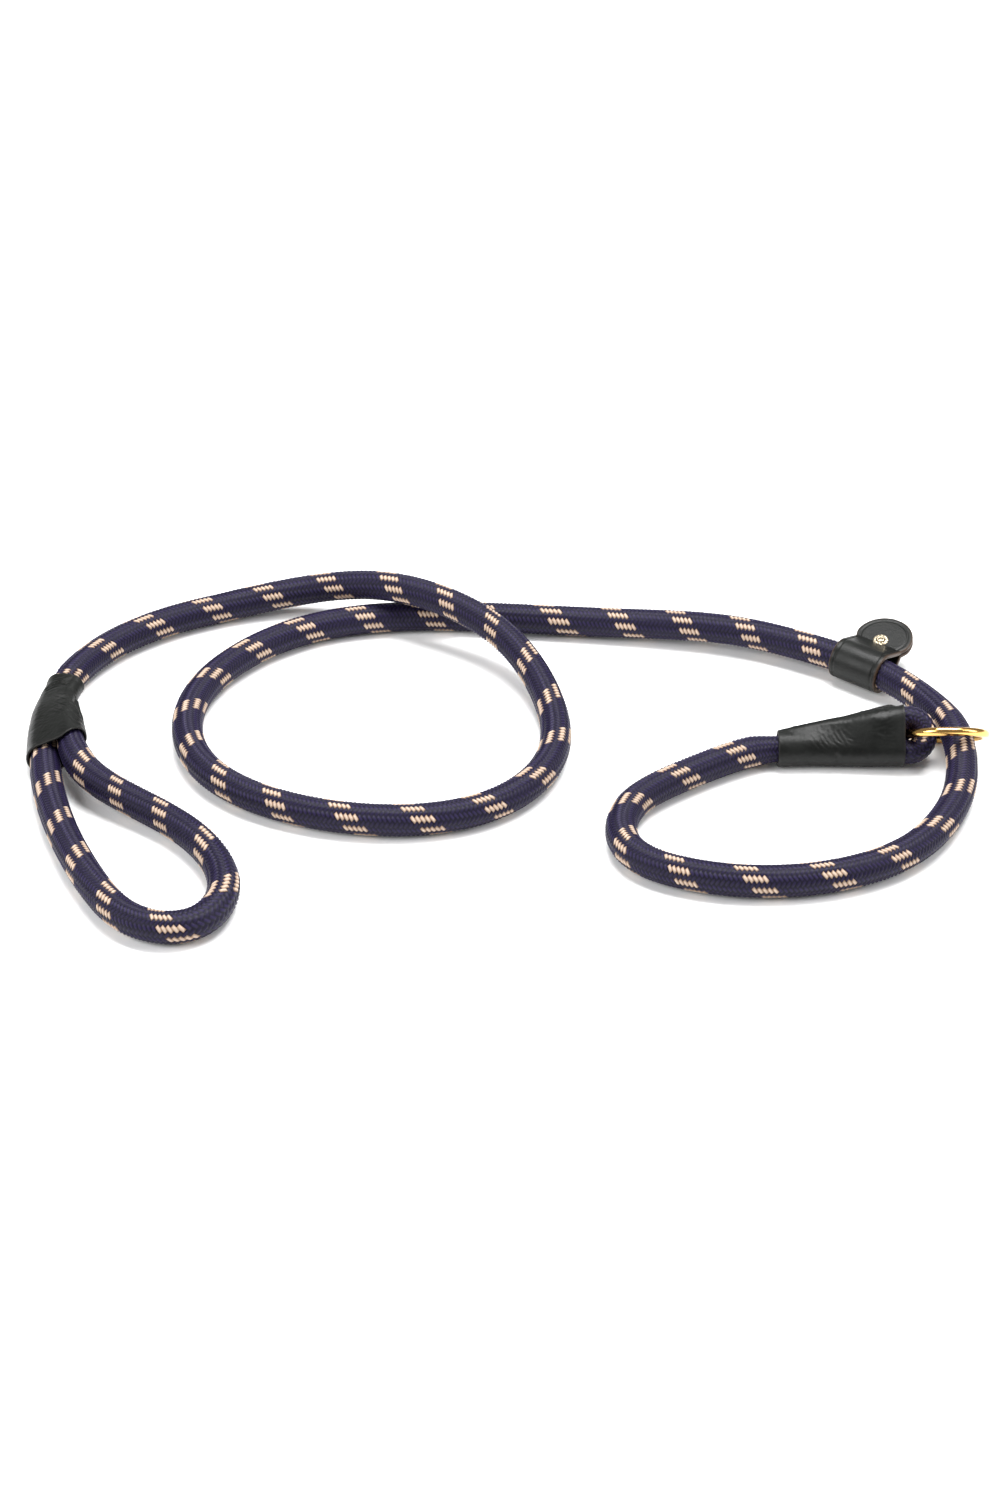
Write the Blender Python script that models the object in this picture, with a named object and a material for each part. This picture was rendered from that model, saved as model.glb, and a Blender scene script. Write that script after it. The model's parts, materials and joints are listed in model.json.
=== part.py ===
"""Rope slip lead, laid loosely on the floor: a braided rope with a hand loop in a leather
sleeve, a riveted leather stop, and a brass ring held by an eye in a second leather sleeve.

Lengths are metres unless a name ends in _MM, +Z is up and the lead rests on Z = 0.
"""
from math import acos, cos, hypot, pi, radians, sin, sqrt

import bpy
import numpy as np
from mathutils import Vector

MM = 0.001
GAP = 0.3 * MM                      # clearance between pieces that touch
UP = Vector((0.0, 0.0, 1.0))

# Rope
ROPE_RADIUS = 6.0 * MM
CUT_ON_BENDS = 1.0 * MM             # how far the tube's straight runs may cut a bend
LONGEST_RUN = 34.0 * MM
SHORT_RUN = 1.5 * MM                # shortest run that a dent's edge leaves beside it
HANDLE_RUN = 9.0 * MM
HANDLE_TAIL = 52.0 * MM             # length of the returning end that takes the handle's runs

# Longest runs where leather surrounds the rope: under the stop, along the way that it slides,
# and inside the handle's sleeve
CLOSE_RUNS = [(312.0 * MM, 352.0 * MM, 10.0 * MM), (352.0 * MM, 420.0 * MM, 17.0 * MM),
              (1112.0 * MM, 1186.0 * MM, HANDLE_RUN)]

# Thickness of the rope as a share of its full one: by distance along it, where leather grips
# it, and by distance before its thinned end
GRIP_MM = [(0.0, 0.84), (5.0, 0.86), (12.0, 1.0), (1128.0, 1.0),
           (1136.0, 0.80), (1150.0, 0.86), (1182.0, 0.90), (1194.0, 1.0)]
THIN_END_MM = [(0.0, 0.36), (6.0, 0.54), (14.0, 0.72), (28.0, 0.88), (40.0, 1.0)]

# The route of the rope, from its start in the ring's sleeve, round the collar loop, through
# the ring and the stop, round the loose loop, to its end in the handle's sleeve
ROUTE_MM = [
    (104.4, 0.4, 6.3), (92.2, -1.4, 6.2), (68.2, -15.0, 6.0), (45.2, -36.5, 6.0),
    (43.7, -62.0, 6.0), (66.2, -77.5, 6.0), (104.2, -80.5, 6.0), (145.2, -63.0, 6.0),
    (166.7, -29.0, 6.2), (170.0, -11.5, 8.8), (169.3, 1.6, 11.9), (164.2, 19.5, 10.9),
    (147.0, 47.7, 8.4), (127.0, 62.7, 8.4), (103.8, 74.9, 8.4), (78.8, 82.4, 8.4),
    (32.2, 89.4, 6.5), (-47.8, 93.5, 6.0), (-94.8, 74.5, 6.0), (-121.3, 32.0, 6.0),
    (-110.8, -15.0, 6.0), (-61.8, -42.5, 6.0), (-11.8, -38.5, 6.0), (14.7, -10.0, 6.0),
    (16.2, 31.0, 6.8), (-3.8, 69.5, 14.8), (-39.8, 93.0, 19.3), (-74.8, 107.0, 11.6),
    (-117.8, 99.6, 6.0), (-153.8, 76.5, 6.0), (-171.8, 47.0, 5.8), (-175.8, 16.0, 6.3),
    (-168.3, -33.0, 6.0), (-145.8, -86.0, 6.0), (-128.8, -105.0, 6.0), (-110.8, -106.0, 6.0),
    (-100.8, -86.0, 6.0), (-120.8, -47.5, 6.0), (-156.8, -18.0, 9.2), (-169.0, 27.0, 11.0),
]

# Leather and thread
LEATHER = 0.9 * MM
SLEEVE_CLEARANCE = 0.6 * MM         # between a sleeve and the rope in it
THREAD = 0.7 * MM                   # thickness of the whipping round two strands
DENT = THREAD + 2.0 * GAP           # how far the whipping squeezes into the rope
STITCH_LENGTH = 2.3 * MM
STITCH_PITCH = 3.4 * MM
STITCH_RADIUS = 0.35 * MM
STITCH_PROFILE = [(-1.0, 0.3), (-0.8, 0.9), (0.0, 1.0), (0.8, 0.9), (1.0, 0.3)]
STITCH_SIDES = 6
SEAM_PLACES = 64                    # places round a sleeve that a seam can lie at
SLEEVE_SIDES = 40
WHIPPING_SIDES = 32
WHIPPING_SECTIONS = 5

# Handle sleeve, as distances along the rope
HANDLE_TOP = 1135.0 * MM
HANDLE_MOUTH = 1184.0 * MM
HANDLE_SECTIONS = 18
HANDLE_SEAM = radians(-14.0)
HANDLE_WHIPPING = (1160.0 * MM, 1168.0 * MM)
WHIPPING_MARGIN = 2.4 * MM          # length of rope squeezed past the whipping's edges
DENT_SLOPE = 0.4 * MM
TAIL_FADE = 9.0 * MM                # how soon the sleeve closes in past the returning end

# Ring, and the rope eye that holds it: U runs along the ring's sleeve, W from the eye's lower
# strand to its upper one, and V along the ring's wire in the eye
EYE_CENTRE = Vector((151.4, 2.7, 11.05)) * MM
RING_TILT = radians(40.0)
EYE_U = Vector((1.0, 0.0, 0.0))
EYE_W = Vector((0.0, sin(RING_TILT), cos(RING_TILT)))
EYE_V = Vector((0.0, -cos(RING_TILT), sin(RING_TILT)))
RING_RADIUS = 14.6 * MM             # to the middle of the wire
RING_WIRE = 1.65 * MM
RING_STEPS = 48
RING_SIDES = 12
EYE_BEND = 6.45 * MM
EYE_HALF_THICKNESS = 4.6 * MM
EYE_HALF_WIDTH = 6.1 * MM
BEND_STEPS = 10
EYE_SIDES = 16

# The two strands behind the eye, as distance before the eye, the lower strand's place on W and
# half thickness, the upper strand's, then the half width and place on V that they share
EYE_RUN_MM = [
    (0.0, -6.45, 4.6, 6.45, 4.6, 6.1, 0.0),
    (2.5, -6.15, 4.6, 6.05, 4.6, 6.0, -0.25),
    (4.5, -5.3, 4.95, 5.2, 4.9, 5.95, -0.5),
    (6.0, -5.3, 4.95, 5.0, 4.75, 5.9, -0.75),
    (12.0, -5.4, 4.7, 4.5, 4.4, 5.8, -1.0),
    (18.0, -5.3, 4.9, 3.8, 3.6, 5.6, -1.2),
    (24.0, -5.2, 5.0, 3.0, 2.6, 5.5, -1.25),
    (30.0, -5.1, 5.2, 2.2, 1.7, 5.4, -1.3),
    (38.0, -5.0, 5.2, 0.0, 1.0, 5.3, -1.4),
    (49.0, -5.1, 5.3, 0.0, 1.0, 5.3, -1.35),
]
FLAT_STRAND = 0.15                  # how much wider than thick a flattened strand stays
RING_SLEEVE = (2.3 * MM, 49.0 * MM)
RING_SECTIONS = 14
RING_SEAM = 0.0
RING_WHIPPING = (8.0 * MM, 16.0 * MM)
EYE_DENT_MARGIN = 0.6 * MM
EYE_LOWER_STRAND_MM = [45.0, 38.0, 30.0, 25.0, 20.0, 12.0, 4.5, 2.5]
EYE_UPPER_STRAND_MM = [2.5, 4.5, 12.0, 20.0, 25.0, 30.0]

# Stop: the rope under it is an arc, so it slides by turning about the arc's centre
STOP_ARC_CENTRE = Vector((47.6, -64.3, 0.0)) * MM
STOP_ARC_RADIUS = 150.0 * MM
STOP_ANGLE = radians(52.3)
STOP_HEIGHT = 8.4 * MM
STOP_LENGTH = 21.0 * MM
STOP_BORE = 7.1 * MM
STOP_LEATHER = 1.8 * MM
STOP_TAB_RISE = radians(12.0)
TAB_ROUND_CENTRE = 16.0 * MM        # from the rope's middle
TAB_RADIUS = 11.6 * MM
TAB_JOIN = 10.2 * MM                # where the two flaps meet
TAB_ROUND_STEPS = 7
TAB_ROUND_START = radians(-14.0)
TAB_ROUND_END = radians(84.0)
BARREL_STEPS = 16
RIVET_REACH = 14.6 * MM
RIVET_SHANK = 1.5 * MM
RIVET_SIDES = 24

# Rivet profiles as (height, radius) in mm: the head below the lower flap, the rolled end of
# its tube above the cap, and round the cap's own section
RIVET_HEAD_MM = [(-0.9, 1.4), (-0.75, 2.3), (-0.4, 3.0), (0.0, 3.2), (0.0, 1.5)]
RIVET_END_MM = [(0.8, 1.5), (1.0, 1.25), (1.0, 0.9), (0.2, 0.75)]
RIVET_CAP_MM = [(0.0, 1.8), (0.0, 3.1), (0.25, 3.15), (0.7, 2.8), (0.8, 2.2), (0.6, 1.8)]


def clear_scene():
    for item in list(bpy.data.objects):
        bpy.data.objects.remove(item, do_unlink=True)


def material(name, colour, roughness, metallic=0.0):
    made = bpy.data.materials.new(name)
    made.use_nodes = True
    shader = made.node_tree.nodes["Principled BSDF"]
    shader.inputs["Base Color"].default_value = (*colour, 1.0)
    shader.inputs["Roughness"].default_value = roughness
    shader.inputs["Metallic"].default_value = metallic
    made.diffuse_color = (*colour, 1.0)
    return made


def add_object(name, data, surface, parent=None, location=(0.0, 0.0, 0.0)):
    """Put mesh or curve data in the scene, with its origin at the world place given."""
    data.materials.append(surface)
    made = bpy.data.objects.new(name, data)
    bpy.context.scene.collection.objects.link(made)
    made.parent = parent
    made.location = Vector(location)
    if parent:
        made.location -= parent.location
    return made


def mesh_data(name, points, faces, smooth=True):
    mesh = bpy.data.meshes.new(name)
    mesh.from_pydata([tuple(point) for point in points], [], faces)
    mesh.validate()
    for polygon in mesh.polygons:
        polygon.use_smooth = smooth and len(polygon.vertices) <= 4
    return mesh


def skin(rings, closed=False):
    """Faces of a tube through rings of as many points each, capped unless it is closed."""
    sides = len(rings[0])
    count = len(rings)
    faces = []
    for row in range(count if closed else count - 1):
        here = row * sides
        there = (row + 1) % count * sides
        for side in range(sides):
            ahead = (side + 1) % sides
            faces.append((here + side, here + ahead, there + ahead, there + side))
    if not closed:
        faces.append(tuple(reversed(range(sides))))
        faces.append(tuple((count - 1) * sides + side for side in range(sides)))
    return faces


def tube_mesh(name, rings, closed=False, smooth=True):
    points = [point for ring in rings for point in ring]
    return mesh_data(name, points, skin(rings, closed), smooth)


def ellipse(centre, first_axis, second_axis, sides):
    """Points round a centre; the two axes carry the ellipse's half lengths."""
    angles = [2.0 * pi * side / sides for side in range(sides)]
    return [centre + first_axis * cos(angle) + second_axis * sin(angle) for angle in angles]


def smooth_curve(points, samples=4000):
    """A natural cubic spline through the points, evenly sampled along its length."""
    points = np.array(points, dtype=float)
    chords = np.linalg.norm(np.diff(points, axis=0), axis=1)
    knots = np.concatenate(([0.0], np.cumsum(np.sqrt(chords))))
    spans = np.diff(knots)
    count = len(points)
    system = np.eye(count)
    target = np.zeros((count, 3))
    for i in range(1, count - 1):
        system[i, i - 1:i + 2] = spans[i - 1], 2.0 * (spans[i - 1] + spans[i]), spans[i]
        rise = (points[i + 1] - points[i]) / spans[i] - (points[i] - points[i - 1]) / spans[i - 1]
        target[i] = 6.0 * rise
    bends = np.linalg.solve(system, target)
    where = np.linspace(0.0, knots[-1], samples)
    low = np.clip(np.searchsorted(knots, where, side="right") - 1, 0, count - 2)
    after = (where - knots[low])[:, None]
    before = (knots[low + 1] - where)[:, None]
    span = spans[low][:, None]
    curve = (bends[low] * before ** 3 + bends[low + 1] * after ** 3) / (6.0 * span)
    curve += (points[low] / span - bends[low] * span / 6.0) * before
    curve += (points[low + 1] / span - bends[low + 1] * span / 6.0) * after
    lengths = np.concatenate(([0.0], np.cumsum(np.linalg.norm(np.diff(curve, axis=0), axis=1))))
    even = np.linspace(0.0, lengths[-1], samples)
    return even, np.column_stack([np.interp(even, lengths, curve[:, axis]) for axis in range(3)])


ROPE_DISTANCES, ROPE_POINTS = smooth_curve(np.array(ROUTE_MM) * MM)
ROPE_LENGTH = float(ROPE_DISTANCES[-1])


def rest_on_floor():
    """Lift the rope's middle where its spline would dip below the floor."""
    thickness = [rope_radius(distance) for distance in ROPE_DISTANCES]
    ROPE_POINTS[:, 2] = np.maximum(ROPE_POINTS[:, 2], thickness)


def rope_point(distance):
    return Vector([np.interp(distance, ROPE_DISTANCES, ROPE_POINTS[:, i]) for i in range(3)])


def rope_direction(distance):
    return (rope_point(distance + MM) - rope_point(distance - MM)).normalized()


def rope_bend_radius(distance):
    distance = min(max(distance, 4.0 * MM), ROPE_LENGTH - 4.0 * MM)
    turn = rope_direction(distance - 2.0 * MM).angle(rope_direction(distance + 2.0 * MM))
    return 4.0 * MM / max(turn, 1e-4)


def rope_radius(distance):
    """Half the rope's thickness: it is squeezed where leather grips it and thinned at its end."""
    grip = np.interp(distance / MM, *zip(*GRIP_MM))
    thin = np.interp((ROPE_LENGTH - distance) / MM, *zip(*THIN_END_MM))
    return float(ROPE_RADIUS * grip * thin)


def tail_distance(section_origin, section_direction):
    """Where the rope's returning end crosses a section of the handle's sleeve."""
    tail = ROPE_DISTANCES > ROPE_LENGTH - 60.0 * MM
    offsets = (ROPE_POINTS[tail] - np.array(section_origin)) @ np.array(section_direction)
    return float(ROPE_DISTANCES[tail][np.argmin(np.abs(offsets))])


def whipping_dents():
    """Stretches of the rope that the handle's whipping squeezes, on both strands."""
    ends = [tail_distance(rope_point(d), rope_direction(d)) for d in HANDLE_WHIPPING]
    return [(min(edges) - WHIPPING_MARGIN, max(edges) + WHIPPING_MARGIN)
            for edges in (HANDLE_WHIPPING, ends)]


def dented_radius(distance, dents):
    depth = max(1.0 if low <= distance <= high else 0.0 for low, high in dents)
    return rope_radius(distance) - depth * DENT


def longest_run(distance):
    """The tube follows the rope closely where leather surrounds it."""
    stretches = CLOSE_RUNS + [(ROPE_LENGTH - HANDLE_TAIL, ROPE_LENGTH, HANDLE_RUN)]
    return min([run for low, high, run in stretches if low <= distance < high],
               default=LONGEST_RUN)


def rope_stations(dents):
    """Distances for the tube's points: close together on bends and by the whipping."""
    stations = [0.0]
    while stations[-1] < ROPE_LENGTH:
        here = stations[-1]
        bend = min(rope_bend_radius(here + ahead * MM) for ahead in (3.0, 10.0, 18.0))
        step = min(longest_run(here), sqrt(8.0 * bend * CUT_ON_BENDS))
        stations.append(min(here + step, ROPE_LENGTH))
    edges = [edge for low, high in dents
             for edge in (low - DENT_SLOPE, low, high, high + DENT_SLOPE)]
    clear = [d for d in stations if all(abs(d - edge) > SHORT_RUN for edge in edges)]
    return sorted(clear + edges)


def make_rope(surface):
    dents = whipping_dents()
    stations = rope_stations(dents)
    curve = bpy.data.curves.new("rope_lead", "CURVE")
    curve.dimensions = "3D"
    curve.bevel_depth = ROPE_RADIUS
    curve.bevel_resolution = 4
    curve.use_fill_caps = True
    curve.resolution_u = 1
    curve.render_resolution_u = 0
    spline = curve.splines.new("POLY")
    spline.points.add(len(stations) - 1)
    for point, distance in zip(spline.points, stations):
        point.co = (*rope_point(distance), 1.0)
        point.radius = dented_radius(distance, dents) / ROPE_RADIUS
    add_object("rope_lead", curve, surface)


def eye_run(distance):
    """The two strands at a distance before the eye, as (W, V, half thickness, half width)."""
    columns = np.array(EYE_RUN_MM).T * MM
    low_w, low_half, high_w, high_half, width, shift = (
        float(np.interp(distance, columns[0], column)) for column in columns[1:])
    high_width = width * min(1.0, high_half / low_half + FLAT_STRAND)
    return (low_w, shift, low_half, width), (high_w, shift, high_half, high_width)


def squeeze(strand, distance):
    """Take the whipping's dent out of a strand where the whipping is."""
    w, v, half, width = strand
    low, high = RING_WHIPPING
    inside = low - EYE_DENT_MARGIN <= distance <= high + EYE_DENT_MARGIN
    dent = DENT if inside else 0.0
    return w, v, half - dent, width - dent


def eye_section(strand, distance):
    w, v, half, width = squeeze(strand, distance)
    centre = EYE_CENTRE - EYE_U * distance + EYE_W * w + EYE_V * v
    return ellipse(centre, EYE_W * half, EYE_V * width, EYE_SIDES)


def make_eye(surface):
    """The rope's end folded round the ring's wire, back into the sleeve to a thinned tail."""
    low, high = RING_WHIPPING
    edges = [low - EYE_DENT_MARGIN - DENT_SLOPE, low - EYE_DENT_MARGIN,
             high + EYE_DENT_MARGIN, high + EYE_DENT_MARGIN + DENT_SLOPE]
    lower = sorted([place * MM for place in EYE_LOWER_STRAND_MM] + edges, reverse=True)
    rings = [eye_section(eye_run(distance)[0], distance) for distance in lower]
    for step in range(BEND_STEPS + 1):
        angle = pi * step / BEND_STEPS
        outward = EYE_U * sin(angle) - EYE_W * cos(angle)
        centre = EYE_CENTRE + outward * EYE_BEND
        rings.append(ellipse(centre, -outward * EYE_HALF_THICKNESS, EYE_V * EYE_HALF_WIDTH,
                             EYE_SIDES))
    for distance in sorted([place * MM for place in EYE_UPPER_STRAND_MM] + edges):
        ring = eye_section(eye_run(distance)[1], distance)
        # the fold turns the strand over, so the ring's points start on the other side
        rings.append([ring[(EYE_SIDES // 2 - side) % EYE_SIDES] for side in range(EYE_SIDES)])
    add_object("rope_eye", tube_mesh("rope_eye", rings), surface)


def outline(discs, grow, sides):
    """The taut outline round ellipses (p, q, half_p, half_q), each grown, as flat points."""
    points = []
    for side in range(sides):
        angle = 2.0 * pi * side / sides
        across, along = cos(angle), sin(angle)
        best = None
        for p, q, half_p, half_q in discs:
            reach_p, reach_q = half_p + grow, half_q + grow
            reach = hypot(reach_p * across, reach_q * along)
            height = p * across + q * along + reach
            if best is None or height > best[0]:
                best = (height, p + reach_p ** 2 * across / reach, q + reach_q ** 2 * along / reach)
        points.append(best[1:])
    return points


def shell_mesh(name, sections, inner_grow, outer_grow, sides):
    """A leather or thread tube round strands: sections are (origin, P axis, Q axis, discs)."""
    layers = []
    for grow in (outer_grow, inner_grow):
        rings = []
        for origin, p_axis, q_axis, discs in sections:
            ring = [origin + p_axis * p + q_axis * q for p, q in outline(discs, grow, sides)]
            for point in ring:
                point.z = max(point.z, 0.0)
            rings.append(ring)
        layers.append(rings)
    outer, inner = layers
    # one closed skin: along the outside, round the far edge, back along the inside
    loop = outer + inner[::-1]
    return tube_mesh(name, loop, closed=True)


def ring_sections(span, count):
    low, high = span
    sections = []
    for step in range(count):
        distance = low + (high - low) * step / (count - 1)
        discs = [(w, v, half, width) for w, v, half, width in eye_run(distance)]
        sections.append((EYE_CENTRE - EYE_U * distance, EYE_W, EYE_V, discs))
    return sections


def handle_section(distance):
    """Section of the handle's sleeve: the lead and, below its end, the returning tail."""
    origin = rope_point(distance)
    direction = rope_direction(distance)
    side = direction.cross(UP).normalized() * -1.0
    up = direction.cross(side).normalized()
    if up.z < 0.0:
        up = -up
    radius = rope_radius(distance)
    discs = [(0.0, 0.0, radius, radius)]
    tail = tail_distance(origin, direction)
    offset = rope_point(tail) - origin
    beyond = max(0.0, -offset.dot(direction))
    fade = max(0.0, 1.0 - beyond / TAIL_FADE)
    tail_radius = rope_radius(tail) * fade
    discs.append((offset.dot(side) * fade, offset.dot(up) * fade, tail_radius, tail_radius))
    return origin, side, up, discs


def handle_sections(span, count):
    low, high = span
    return [handle_section(low + (high - low) * step / (count - 1)) for step in range(count)]


def make_stitching(name, sections, turn, surface):
    """One thread sewn along a sleeve, on the side that its sections' angle turn faces: it is
    thick where a stitch shows and thin where it passes through the leather."""
    seam = []
    for origin, p_axis, q_axis, discs in sections:
        grow = SLEEVE_CLEARANCE + LEATHER + GAP + STITCH_RADIUS
        places = outline(discs, grow, SEAM_PLACES)
        p, q = places[round(turn / (2.0 * pi) * SEAM_PLACES) % SEAM_PLACES]
        seam.append(origin + p_axis * p + q_axis * q)
    along, points = smooth_curve([tuple(point) for point in seam], 400)
    outward = sections[0][1] * cos(turn) + sections[0][2] * sin(turn)
    count = int((along[-1] - STITCH_LENGTH) / STITCH_PITCH)
    margin = (along[-1] - count * STITCH_PITCH) / 2.0
    rings = []
    for number in range(count + 1):
        for place, thickness in STITCH_PROFILE:
            here = margin + number * STITCH_PITCH + place * STITCH_LENGTH / 2.0
            centre, ahead = (Vector([np.interp(d, along, points[:, i]) for i in range(3)])
                             for d in (here, here + 0.5 * MM))
            across = (ahead - centre).cross(outward).normalized()
            radius = STITCH_RADIUS * thickness
            rings.append(ellipse(centre, outward * radius, across * radius, STITCH_SIDES))
    add_object(name, tube_mesh(name, rings), surface)


def make_sleeve(name, sections, surface):
    mesh = shell_mesh(name, sections, SLEEVE_CLEARANCE, SLEEVE_CLEARANCE + LEATHER, SLEEVE_SIDES)
    add_object(name, mesh, surface)


def make_whipping(name, sections, surface):
    """Thread wound round the strands, in the dent that it squeezes into them."""
    dented = [(origin, p_axis, q_axis, [(p, q, a - DENT, b - DENT) for p, q, a, b in discs])
              for origin, p_axis, q_axis, discs in sections]
    add_object(name, shell_mesh(name, dented, GAP, GAP + THREAD, WHIPPING_SIDES), surface)


def make_ring_sleeve(leather, thread):
    sections = ring_sections(RING_SLEEVE, RING_SECTIONS)
    make_sleeve("ring_sleeve", sections, leather)
    make_whipping("ring_whipping", ring_sections(RING_WHIPPING, WHIPPING_SECTIONS), thread)
    make_stitching("ring_sleeve_thread", sections, RING_SEAM, thread)


def make_handle_sleeve(leather, thread):
    sections = handle_sections((HANDLE_TOP, HANDLE_MOUTH), HANDLE_SECTIONS)
    make_sleeve("handle_sleeve", sections, leather)
    band = handle_sections(HANDLE_WHIPPING, WHIPPING_SECTIONS)
    make_whipping("handle_whipping", band, thread)
    make_stitching("handle_sleeve_thread", sections, HANDLE_SEAM, thread)


def make_ring(surface):
    """A round ring whose origin is in the eye, on the wire's middle, where it swings."""
    rings = []
    for step in range(RING_STEPS):
        angle = 2.0 * pi * step / RING_STEPS
        outward = EYE_U * cos(angle) + EYE_V * sin(angle)
        centre = EYE_U * RING_RADIUS + outward * RING_RADIUS
        rings.append(ellipse(centre, outward * RING_WIRE, EYE_W * RING_WIRE, RING_SIDES))
    add_object("ring", tube_mesh("ring", rings, closed=True), surface, location=EYE_CENTRE)


def stop_frame():
    """Middle of the stop and its directions: along the rope, along the tab, across the tab."""
    outward = Vector((cos(STOP_ANGLE), sin(STOP_ANGLE), 0.0))
    middle = STOP_ARC_CENTRE + outward * STOP_ARC_RADIUS + UP * STOP_HEIGHT
    along = UP.cross(outward)
    reach = outward * cos(STOP_TAB_RISE) + UP * sin(STOP_TAB_RISE)
    across = UP * cos(STOP_TAB_RISE) - outward * sin(STOP_TAB_RISE)
    return middle, along, reach, across


def strap_inside():
    """The strap's inner side from the upper flap's tip round the rope to the lower tip, as
    (reach, across, outward reach, outward across, half width)."""
    half_width = STOP_LENGTH / 2.0
    stations = []
    for step in range(TAB_ROUND_STEPS + 1):
        turn = TAB_ROUND_END + (TAB_ROUND_START - TAB_ROUND_END) * step / TAB_ROUND_STEPS
        reach = TAB_ROUND_CENTRE + TAB_RADIUS * sin(turn)
        stations.append((reach, GAP / 2.0, 0.0, 1.0, TAB_RADIUS * cos(turn)))
    leaving = acos(STOP_BORE / TAB_JOIN)
    slope = pi / 2.0 - leaving
    stations.append((TAB_JOIN + 1.0 * MM, GAP / 2.0, 0.0, 1.0, half_width))
    stations.append((TAB_JOIN, 2.0 * GAP, sin(slope / 2.0), cos(slope / 2.0), half_width))
    tab_stations = len(stations)
    for step in range(BARREL_STEPS + 1):
        angle = leaving + (2.0 * pi - 2.0 * leaving) * step / BARREL_STEPS
        stations.append((STOP_BORE * cos(angle), STOP_BORE * sin(angle),
                         cos(angle), sin(angle), half_width))
    mirrored = [(reach, -across, out_reach, -out_across, width)
                for reach, across, out_reach, out_across, width in stations[:tab_stations]]
    return stations + mirrored[::-1]


def make_stop(pivot, leather, metal):
    middle, along, reach_axis, across_axis = stop_frame()

    def place(side, reach, across):
        point = middle + along * side + reach_axis * reach + across_axis * across
        point.z = max(point.z, 0.0)
        return point - pivot.location

    rings = []
    for reach, across, out_reach, out_across, width in strap_inside():
        far_reach = reach + out_reach * STOP_LEATHER
        far_across = across + out_across * STOP_LEATHER
        rings.append([place(-width, reach, across), place(width, reach, across),
                      place(width, far_reach, far_across), place(-width, far_reach, far_across)])
    mesh = tube_mesh("stop_strap", rings, smooth=False)
    strap = add_object("stop_strap", mesh, leather, pivot, pivot.location)

    def turned(stations):
        return [ellipse(place(0.0, RIVET_REACH, height), along * radius, reach_axis * radius,
                        RIVET_SIDES) for height, radius in stations]

    flap = GAP / 2.0 + STOP_LEATHER
    hole = turned([(-2.0 * flap, RIVET_SHANK + GAP), (2.0 * flap, RIVET_SHANK + GAP)])
    cutter = add_object("rivet_hole_cutter", tube_mesh("rivet_hole_cutter", hole), metal,
                        pivot, pivot.location)
    cutter.hide_render = True
    cutter.display_type = "WIRE"
    punch = strap.modifiers.new("rivet_hole", "BOOLEAN")
    punch.operation = "DIFFERENCE"
    punch.object = cutter

    under = -flap - GAP
    over = flap + GAP
    post = [(under + height * MM, radius * MM) for height, radius in RIVET_HEAD_MM]
    post += [(over + height * MM, radius * MM) for height, radius in RIVET_END_MM]
    add_object("stop_rivet", tube_mesh("stop_rivet", turned(post)), metal, pivot, pivot.location)

    cap = []
    for step in range(RIVET_SIDES):
        angle = 2.0 * pi * step / RIVET_SIDES
        outward = along * cos(angle) + reach_axis * sin(angle)
        base = place(0.0, RIVET_REACH, over)
        cap.append([base + outward * (radius * MM) + across_axis * (height * MM)
                    for height, radius in RIVET_CAP_MM])
    mesh = tube_mesh("stop_rivet_cap", cap, closed=True)
    add_object("stop_rivet_cap", mesh, metal, pivot, pivot.location)


def fix_normals():
    """Turn every mesh's faces outward."""
    for item in bpy.data.objects:
        if item.type != "MESH":
            continue
        mesh = item.data
        volume = 0.0
        for polygon in mesh.polygons:
            corners = [mesh.vertices[i].co for i in polygon.vertices]
            for second, third in zip(corners[1:-1], corners[2:]):
                volume += corners[0].dot(second.cross(third))
        if volume < 0.0:
            mesh.flip_normals()


def build():
    clear_scene()
    rest_on_floor()
    rope = material("braided_rope", (0.022, 0.02, 0.07), 0.7)
    black_leather = material("black_leather", (0.018, 0.018, 0.018), 0.45)
    strap_leather = material("strap_leather", (0.016, 0.017, 0.016), 0.5)
    thread = material("black_thread", (0.02, 0.02, 0.022), 0.75)
    brass = material("brass", (0.80, 0.56, 0.20), 0.2, 1.0)
    rivet_metal = material("rivet_metal", (0.72, 0.66, 0.55), 0.3, 1.0)
    make_rope(rope)
    make_eye(rope)
    make_ring_sleeve(black_leather, thread)
    make_handle_sleeve(black_leather, thread)
    make_ring(brass)
    pivot = bpy.data.objects.new("stop_pivot", None)
    bpy.context.scene.collection.objects.link(pivot)
    pivot.location = STOP_ARC_CENTRE
    bpy.context.view_layer.update()
    make_stop(pivot, strap_leather, rivet_metal)
    fix_normals()


build()
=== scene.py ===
"""Looks of the rope slip lead: braided rope, leather sleeves and stop, brass ring and rivet.

Everything is in metres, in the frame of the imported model, which rests on Z = 0.
"""
import json
from math import acos, cos, pi, radians, sin

import bpy
import numpy as np
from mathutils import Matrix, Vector, noise


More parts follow.
